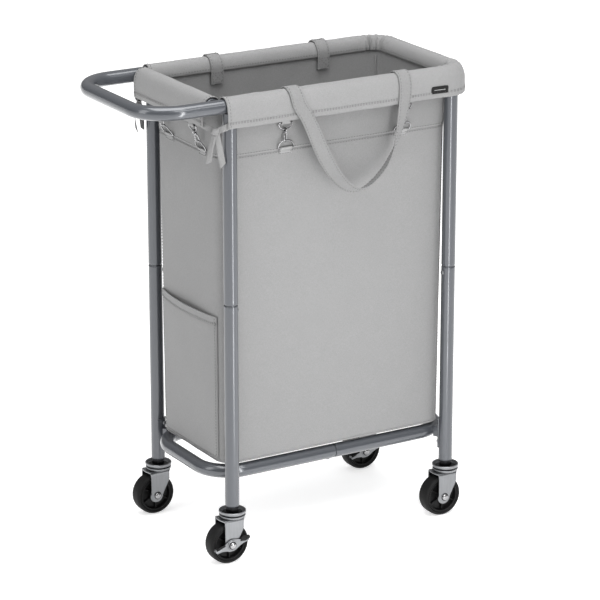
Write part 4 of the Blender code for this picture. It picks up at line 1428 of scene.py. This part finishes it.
def pocket_surface(u, z):
    """The pocket's outer face: it follows the wall at its sewn edges and stands off at the open top."""
    wall_u = POCKET_U0 + u
    _, _, nx, ny = bag_spot(wall_u)
    across = u / POCKET_WIDTH
    up = (z - POCKET_LOW.z) / (POCKET_HIGH.z - POCKET_LOW.z)
    arch = max(0.0, math.sin(math.pi * min(max(across, 0.0), 1.0))) ** 0.8
    gap = 0.0017 + 0.0062 * arch * (0.18 + 0.82 * ease(up * 1.02) ** 1.2)
    gap += 0.0007 * arch * ripple(u * 16, z * 10, 31.0)
    hem = 0.0006 * ease((z - (POCKET_HIGH.z - 0.0145)) / 0.0014)
    gap += hem - 0.0005 * bump_at(z, POCKET_HIGH.z - 0.0155, 0.0012)
    gap -= 0.0004 * (bump_at(u, 0.0045, 0.0016) + bump_at(u, POCKET_WIDTH - 0.0045, 0.0016))
    return bag_surface(wall_u, z) + Vector((nx, ny, 0)) * gap


def build_pocket():
    columns = even_steps(0.0, POCKET_WIDTH, 0.0042)
    top = POCKET_HIGH.z
    levels = even_steps(POCKET_LOW.z + 0.002, top - 0.019, 0.0055) + even_steps(top - 0.0175, top, 0.0012)
    shape = Shape().grid([[pocket_surface(u, z) for u in columns] for z in levels])
    cloth = piece("pocket_cloth", shape, CLOTH, "root", ["side_pocket"], sharp_deg=70)
    thicken(cloth, CLOTH_THICK)
    seams = Shape()
    low = POCKET_LOW.z + 0.006
    inner = 0.0045
    far = POCKET_WIDTH - inner
    seams.sew(pocket_surface, [(inner, top - 0.003), (inner, low), (far, low), (far, top - 0.003)])
    for height in (top - 0.0118, top - 0.0138):
        seams.sew(pocket_surface, [(0.001, height), (POCKET_WIDTH - 0.001, height)])
    stitches = piece("pocket_stitches", seams, THREAD, "root")
    return cloth, stitches


# Straps, tabs and ties


class Ribbon:
    """A band of webbing along points; each point has the direction its outer face looks."""

    def __init__(self, points, normals, width, thickness):
        self.line = Line(points)
        self.facing = normals
        self.width = width
        self.thickness = thickness

    def frame(self, u):
        """Centre, direction, outer normal and width direction at u metres along."""
        low, part = self.line.find(u)
        along = self.line.along(u, 0.0015)
        normal = self.facing[low].lerp(self.facing[low + 1], part)
        normal = (normal - along * normal.dot(along)).normalized()
        extra = u - min(max(u, 0.0), self.line.length)
        return self.line.at(u) + along * extra, along, normal, normal.cross(along)

    def surface(self, side):
        def face(u, v):
            centre, _, normal, across = self.frame(u)
            return centre + across * v * side + normal * side * self.thickness / 2

        return face

    def shape(self, shape=None, step=0.004, slant=0.0, wave=0.0):
        """The closed band; slant moves one edge of its end along, and wave ripples its edges."""
        shape = shape or Shape()
        half = self.width / 2
        thick = self.thickness / 2
        columns = max(3, round(self.width / 0.0035))
        across = [mix(-half + thick * 0.6, half - thick * 0.6, c / columns) for c in range(columns + 1)]
        section = [(thick, b) for b in across] + [(0.0, half)]
        section += [(-thick, b) for b in across[::-1]] + [(0.0, -half)]
        rows = []
        for u in even_steps(0.0, self.line.length, step):
            row = []
            tail = ease((u / self.line.length - 0.6) / 0.4)
            for a, b in section:
                shift = slant * tail * b / half
                centre, along, normal, width_way = self.frame(u)
                ripple_out = wave * ripple(u * 40, b * 60, 8.0)
                row.append(centre + along * shift + normal * (a + ripple_out) - width_way * b)
            rows.append(row)
        return shape.grid(rows, wrap_columns=True, caps=True)


STRAP_SEAM = 0.0097
STRAP_ENDS_X = (-0.1035, 0.116)
STRAP_COURSE = [
    # x, out from the rail's centre, up from it, tilt of the outer face from straight up, twist
    (-0.1035, -0.001, 0.0187, 0, 0),
    (-0.1032, 0.008, 0.0171, 27, 0),
    (-0.1026, 0.0148, 0.0112, 54, 0),
    (-0.1015, 0.0188, 0.0025, 80, 0),
    (-0.099, 0.0206, -0.008, 90, 0),
    (-0.0945, 0.0212, -0.017, 90, 0),
    (-0.083, 0.0219, -0.035, 90, 0),
    (-0.07, 0.0222, -0.062, 90, 9),
    (-0.0555, 0.0224, -0.095, 90, 18),
    (-0.038, 0.0222, -0.127, 90, 31),
    (-0.016, 0.021, -0.156, 90, 48),
    (0.006, 0.019, -0.1735, 90, 60),
    (0.024, 0.018, -0.178, 90, 68),
    (0.042, 0.0182, -0.173, 90, 71),
    (0.062, 0.0192, -0.158, 90, 72),
    (0.079, 0.0204, -0.138, 90, 69),
    (0.092, 0.0212, -0.113, 90, 57),
    (0.1015, 0.0216, -0.085, 90, 36),
    (0.1085, 0.0216, -0.058, 90, 20),
    (0.113, 0.0214, -0.034, 90, 8),
    (0.1152, 0.021, -0.016, 90, 0),
    (0.1158, 0.0204, -0.007, 90, 0),
    (0.1158, 0.0188, 0.0025, 80, 0),
    (0.116, 0.0148, 0.0112, 54, 0),
    (0.116, 0.008, 0.0171, 27, 0),
    (0.116, -0.001, 0.0187, 0, 0),
]


def with_directions(points):
    """Each point of a path with the direction in which the path passes it."""
    last = len(points) - 1
    for index, point in enumerate(points):
        yield point, (points[min(index + 1, last)] - points[max(index - 1, 0)]).normalized()


def strap_ribbon(sign):
    """The carrying loop on the front (sign -1) or back (sign 1) rail."""
    spots = smooth_curve([course[:3] for course in STRAP_COURSE], 6)
    turns = smooth_curve([(course[3], course[4], 0) for course in STRAP_COURSE], 6)
    points = [Vector((spot.x, sign * (POST_Y + spot.y), RAIL_Z + spot.z)) for spot in spots]
    normals = []
    for turn, (_, along) in zip(turns, with_directions(points)):
        tilt, twist = math.radians(min(turn.x, 90)), math.radians(max(turn.y, 0))
        normal = Vector((0, sign * math.sin(tilt), math.cos(tilt)))
        normal = (normal - along * normal.dot(along)).normalized()
        turned = normal * math.cos(twist) + along.cross(normal) * math.sin(twist) * -sign
        normals.append(turned)
    return Ribbon(points, normals, STRAP_WIDTH, 0.0021)


def build_strap(side, sign):
    ribbon = strap_ribbon(sign)
    node = f"carry_strap_{side}"
    cloth = piece(f"strap_{side}", ribbon.shape(), WEBBING, None, [node], sharp_deg=60)
    seams = Shape()
    for edge in (-STRAP_SEAM, STRAP_SEAM):
        for face in (1, -1):
            seams.sew(ribbon.surface(face), [(0.004, edge), (ribbon.line.length - 0.004, edge)])
    stitches = piece(f"strap_stitches_{side}", seams, THREAD, None)
    for obj in (cloth, stitches):
        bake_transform(obj)
    return cloth, stitches


STRAP_TAB_COURSE = [
    # out from the rail's centre, up from it
    (-0.0196, -0.031), (-0.0198, -0.018), (-0.0197, -0.005), (-0.0184, 0.0032), (-0.0142, 0.0112),
    (-0.0078, 0.0164), (-0.001, 0.0178), (0.0075, 0.0163), (0.0125, 0.0132),
]


def build_strap_tabs(side, sign):
    """The straps' inner ends, which come up the inside of the bag and over the rail."""
    cloth = Shape()
    seams = Shape()
    for x in STRAP_ENDS_X:
        points, normals = [], []
        for spot, rising in with_directions(smooth_curve([(out, up, 0) for out, up in STRAP_TAB_COURSE], 5)):
            points.append(Vector((x, sign * (POST_Y + spot.x), RAIL_Z + spot.y)))
            normals.append(Vector((0, sign * -rising.y, rising.x)))
        tab = Ribbon(points, normals, STRAP_WIDTH, 0.0018)
        tab.shape(cloth, step=0.003)
        face = tab.surface(1)
        low, high = 0.0035, 0.02
        edge = STRAP_WIDTH / 2 - 0.003
        box = [(low, -edge), (high, -edge), (high, edge), (low, edge), (low, -edge)]
        seams.sew(face, box)
        seams.sew(face, [(low, -edge), (high, edge)])
        seams.sew(face, [(low, edge), (high, -edge)])
        for line in (-STRAP_SEAM, STRAP_SEAM):
            seams.sew(face, [(high, line), (tab.line.length - 0.006, line)])
    band = piece(f"strap_tabs_{side}", cloth, WEBBING, "root", sharp_deg=60)
    stitches = piece(f"strap_tab_stitches_{side}", seams, THREAD, "root")
    return band, stitches


# Snap hooks and their rings


HOOK_TURN_DEG = 28
HOOK_COLLAR = [
    (0, -0.0187), (0.0018, -0.0186), (0.0028, -0.0179), (0.003, -0.017), (0.0027, -0.0161), (0.0019, -0.0156),
    (0.0019, -0.0152), (0.0025, -0.0148), (0.0026, -0.0142), (0.0022, -0.0137), (0, -0.0134),
]
HOOK_THUMB = [
    (0, -0.0018), (0.0012, -0.0016), (0.0018, -0.0008), (0.0018, 0.0008), (0.0012, 0.0016), (0, 0.0018),
]


def hook_shape():
    """A snap hook and the ring it hangs from; they swing about the ring's bar, which is near z = 0."""
    shape = Shape()
    shape.tube(ring_path(0.0003, -0.0112, 0.013), 0.0012, (0, 0, 1), 12, closed=True)
    eye = [Vector((0, y, z - 0.0124)) for y, z in circle(0.0032, 28)]
    shape.tube(eye, 0.0012, (1, 0, 0), 12, closed=True)
    shape.turn(HOOK_COLLAR, steps=28)
    swung = turned(HOOK_TURN_DEG, "Z")
    flat = swung @ Vector((0, 1, 0))
    half, top, low = 0.0036, -0.0186, -0.033
    neck = (0, 0, top + 0.0006)
    bend = half * 0.96
    loop = rounded_path([((-half, 0, -0.0225), 0), ((-half, 0, low), bend), ((half, 0, low), bend),
                         ((half, 0, top - 0.0012), 0.0028), (neck, 0)], 12)
    shape.tube([swung @ point for point in loop], 0.00115, flat, 12)
    nose = rounded_path([(neck, 0), ((-half * 0.9, 0, top - 0.0008), 0.0024), ((-half, 0, -0.021), 0)], 8)
    shape.tube([swung @ point for point in nose], 0.0011, flat, 12)
    gate = ((-half + 0.0009, -0.0205), (-half + 0.0005, -0.0245), (-half + 0.001, -0.029))
    shape.tube(smooth_curve([swung @ Vector((x, 0, z)) for x, z in gate], 4), 0.0009, flat, 10)
    thumb = swung @ shifted(-half - 0.0006, 0, -0.0268) @ turned(90, "Y")
    return shape.turn(HOOK_THUMB, thumb, 16)


def ring_path(bar_z, arc_z, half=0.0112, steps=26):
    """A D-ring in the XZ plane: a straight bar at bar_z and an arc that reaches arc_z."""
    points = []
    for step in range(steps + 1):
        turn = math.pi * step / steps
        part = max(math.sin(turn), 0.0) ** 0.8
        points.append(Vector((-half * math.cos(turn), 0, mix(bar_z, arc_z, part))))
    return points + [Vector((half * part, 0, bar_z)) for part in (0.6, 0.2, -0.2, -0.6)]


LOWER_BAR_Z = 0.733
TAPE_MIDDLE_Z = 0.729
RING_TAB_COURSE = [
    # out from the wall side, up from the pivot
    (0.003, 0.03), (0.0018, 0.02), (0.0024, 0.006), (0.0023, 0.0002), (0.0012, -0.0018),
    (-0.0012, -0.0018), (-0.0022, 0.0004), (-0.0022, 0.006), (0.0004, 0.02),
]


def build_hook_set(name, x, y, facing_deg, lean_deg, lower_u):
    """A hook, its two rings and their tabs; facing turns the set, whose outer side is local -Y, about Z."""
    standing = shifted(x, y, HOOK_PIVOT_Z) @ turned(facing_deg, "Z")
    hanging = standing @ turned(lean_deg, "X")
    body, node = f"hook_{name}", f"snap_hook_{name}"
    piece(f"hook_{name}_snap", hook_shape(), CHROME, body, [node], at=hanging)
    hold = hanging @ Vector((0, 0, -0.0306))
    normal = normal_of(bag_surface, lower_u, LOWER_BAR_Z)
    bar = bag_surface(lower_u, LOWER_BAR_Z) + normal * 0.002
    rise = hold - bar
    across = UP.cross(normal).normalized()
    ring = [bar + across * point.x + rise * point.z for point in ring_path(0.0, 1.0, 0.0158)]
    lower = Shape().tube(ring, 0.0012, normal, 12, closed=True)
    piece(f"lower_ring_{name}", lower, CHROME, "root")
    points, normals = [], []
    for spot, going in with_directions(smooth_curve([(depth, up, 0) for depth, up in RING_TAB_COURSE], 4)):
        points.append(standing @ Vector((0, spot.x, spot.y)))
        normals.append(standing.to_3x3() @ Vector((0, -going.y, going.x)))
    tabs = Ribbon(points, normals, 0.017, 0.0009).shape(step=0.002)

    def patch(u, v):
        height = TAPE_MIDDLE_Z + v
        base = bag_surface(lower_u + u, height)
        out = normal_of(bag_surface, lower_u + u, height)
        over_bar = bump_at(height, LOWER_BAR_Z, 0.0028) * ease((0.0135 - abs(u)) / 0.002)
        return base + out * (0.0012 + 0.003 * over_bar)

    columns = even_steps(-0.013, 0.013, 0.0013)
    rows = [[patch(u, v) for u in columns] for v in even_steps(-0.008, 0.0058, 0.0009)]
    tape = piece(f"ring_tape_{name}", Shape().grid(rows), TAPE, "root", sharp_deg=60)
    thicken(tape, 0.0009)
    piece(f"ring_tab_{name}", tabs, TAPE, "root", sharp_deg=60)
    half, low, high = 0.0114, -0.0066, -0.0008
    seam = [(-half, low), (half, low), (half, high), (-half, high), (-half, low)]
    seams = Shape().sew(patch, seam, 0.0034, 0.0023)
    piece(f"ring_tape_stitches_{name}", seams, THREAD, "root")


LABEL_X = 0.188
LABEL_HALF_U = 0.0175
LABEL_HALF_V = 0.0066
STRIPE_HALF_U = 0.0115


def build_label():
    """A small blank patch sewn on the flap by the front right corner."""
    middle_u = LABEL_X - FLAP_LOW.x
    middle_v = RIM_FLAP.depth * 0.155

    def patch(u, v):
        return RIM_FLAP(middle_u + u, middle_v + v) + normal_of(RIM_FLAP, middle_u + u, middle_v + v) * 0.0008

    def rounding(u):
        return 1 - 0.4 * ease((abs(u) - LABEL_HALF_U + 0.0024) / 0.0024)

    columns = even_steps(-LABEL_HALF_U, LABEL_HALF_U, 0.0008)
    levels = even_steps(-LABEL_HALF_V, LABEL_HALF_V, 0.0011)
    rows = [[patch(u, v * rounding(u)) for u in columns] for v in levels]
    label = piece("blank_label", Shape().grid(rows), LABEL_BLACK, "root", sharp_deg=60)
    thicken(label, 0.001)

    def raised(u, v):
        return patch(u, v) + normal_of(RIM_FLAP, middle_u + u, middle_v + v) * 0.00012

    columns = even_steps(-STRIPE_HALF_U, STRIPE_HALF_U, 0.0012)
    rows = [[raised(u, v) for u in columns] for v in (-0.0005, 0.0, 0.0005)]
    stripe = piece("label_stripe", Shape().grid(rows), LABEL_PALE, "root", sharp_deg=60)
    thicken(stripe, 0.0003)


TIE_WIDTH = 0.011
TIE_COURSES = [
    # x, y on the back side, z of the course up to the knot; how far the end stands out from the knot
    ([(-0.23, 0.1525, 0.7945), (-0.237, 0.149, 0.7905), (-0.244, 0.142, 0.786)], 0.003),
    ([(-0.2655, 0.113, 0.7935), (-0.262, 0.1215, 0.7905), (-0.2555, 0.13, 0.7865)], 0.0024),
]
TIE_TAILS = [
    # sideways reach, outward bow, drop
    (-0.0135, 0.005, -0.056), (0.012, -0.001, -0.06),
]


def build_tie(side, sign):
    """A tape from the flap's corner, knotted round itself below the handle rail, with two tails."""
    knot = Vector((-0.248, sign * 0.1345, 0.783))
    out = Vector((-0.62, sign * 0.78, 0)).normalized()
    over = out.cross(UP) * sign
    cloth = Shape()
    for course, rise in TIE_COURSES:
        ends = [Vector((x, sign * y, z)) for x, y, z in course]
        points = smooth_curve([*ends, knot + out * rise], 8)
        Ribbon(points, [out] * len(points), TIE_WIDTH, 0.001).shape(cloth, step=0.0025, wave=0.0005)
    for reach, bow, drop in TIE_TAILS:
        course = [
            knot + out * 0.003,
            knot + over * reach * 0.25 + out * (0.0052 + bow * 0.4) + UP * drop * 0.18,
            knot + over * reach * 0.6 + out * (0.004 + bow) + UP * drop * 0.55,
            knot + over * reach + out * 0.003 + UP * drop,
        ]
        points = smooth_curve(course, 8)
        curls = [0.5 * math.sin(index / len(points) * 3) for index in range(len(points))]
        facing = [(out + over * curl * (1 if reach > 0 else -1)).normalized() for curl in curls]
        Ribbon(points, facing, TIE_WIDTH, 0.001).shape(cloth, step=0.0025, slant=0.0045, wave=0.0006)
    ball = []
    for step in range(22):
        turn = 2 * math.pi * step / 22
        swell = out * (0.003 + 0.0058 * math.sin(turn))
        ball.append(knot + swell + UP * 0.0062 * math.cos(turn) + over * 0.0016 * math.sin(2 * turn))
    facing = [(spot - knot - out * 0.003).normalized() for spot in ball]
    Ribbon([*ball, ball[0]], [*facing, facing[0]], TIE_WIDTH, 0.0014).shape(cloth, step=0.0016, wave=0.0004)
    core = Matrix.Translation(knot + out * 0.003)
    cloth.turn([(0, -0.0048), (0.0032, -0.0036), (0.0045, 0.0), (0.0032, 0.0036), (0, 0.0048)], core, 14)
    return piece(f"flap_tie_{side}", cloth, CLOTH, "root", sharp_deg=70)


bag_cloth, bag_trim = build_bag()
build_board()
rim_cloth, rim_stitches = build_flap("rim_flap_cloth", RIM_FLAP, "rim_flap", "rim_flap_stitches")
left_cloth, left_stitches = build_flap("left_flap_cloth", LEFT_FLAP, "left_flap", "left_flap_stitches")
pocket_cloth, pocket_stitches = build_pocket()
build_label()
for side_name, side_sign in (("front", -1), ("back", 1)):
    loop_cloth, loop_stitches = build_strap(side_name, side_sign)
    loop_size = (STRAP_WIDTH, strap_ribbon(side_sign).line.length)
    tab_cloth, tab_stitches = build_strap_tabs(side_name, side_sign)
    tie = build_tie(f"{side_name}_left", side_sign)

LEFT_PIVOT_X = -0.2545
LEFT_LEAN_DEG = 22
for side_name, facing, wall_u in (("front", 0, front_u), ("back", 180, back_u)):
    for end in ("left", "right"):
        spot = centre_of(f"snap_hook_{side_name}_{end}") - HOME
        build_hook_set(f"{side_name}_{end}", spot.x, spot.y, facing, 0, wall_u(spot.x, BAND_Z))
for side_name in ("front", "back"):
    spot = centre_of(f"snap_hook_right_{side_name}") - HOME
    build_hook_set(f"right_{side_name}", spot.x, spot.y, 90, 0, right_u(spot.y))
    spot = centre_of(f"snap_hook_left_{side_name}") - HOME
    build_hook_set(f"left_{side_name}", LEFT_PIVOT_X, spot.y, -90, LEFT_LEAN_DEG, left_u(spot.y))
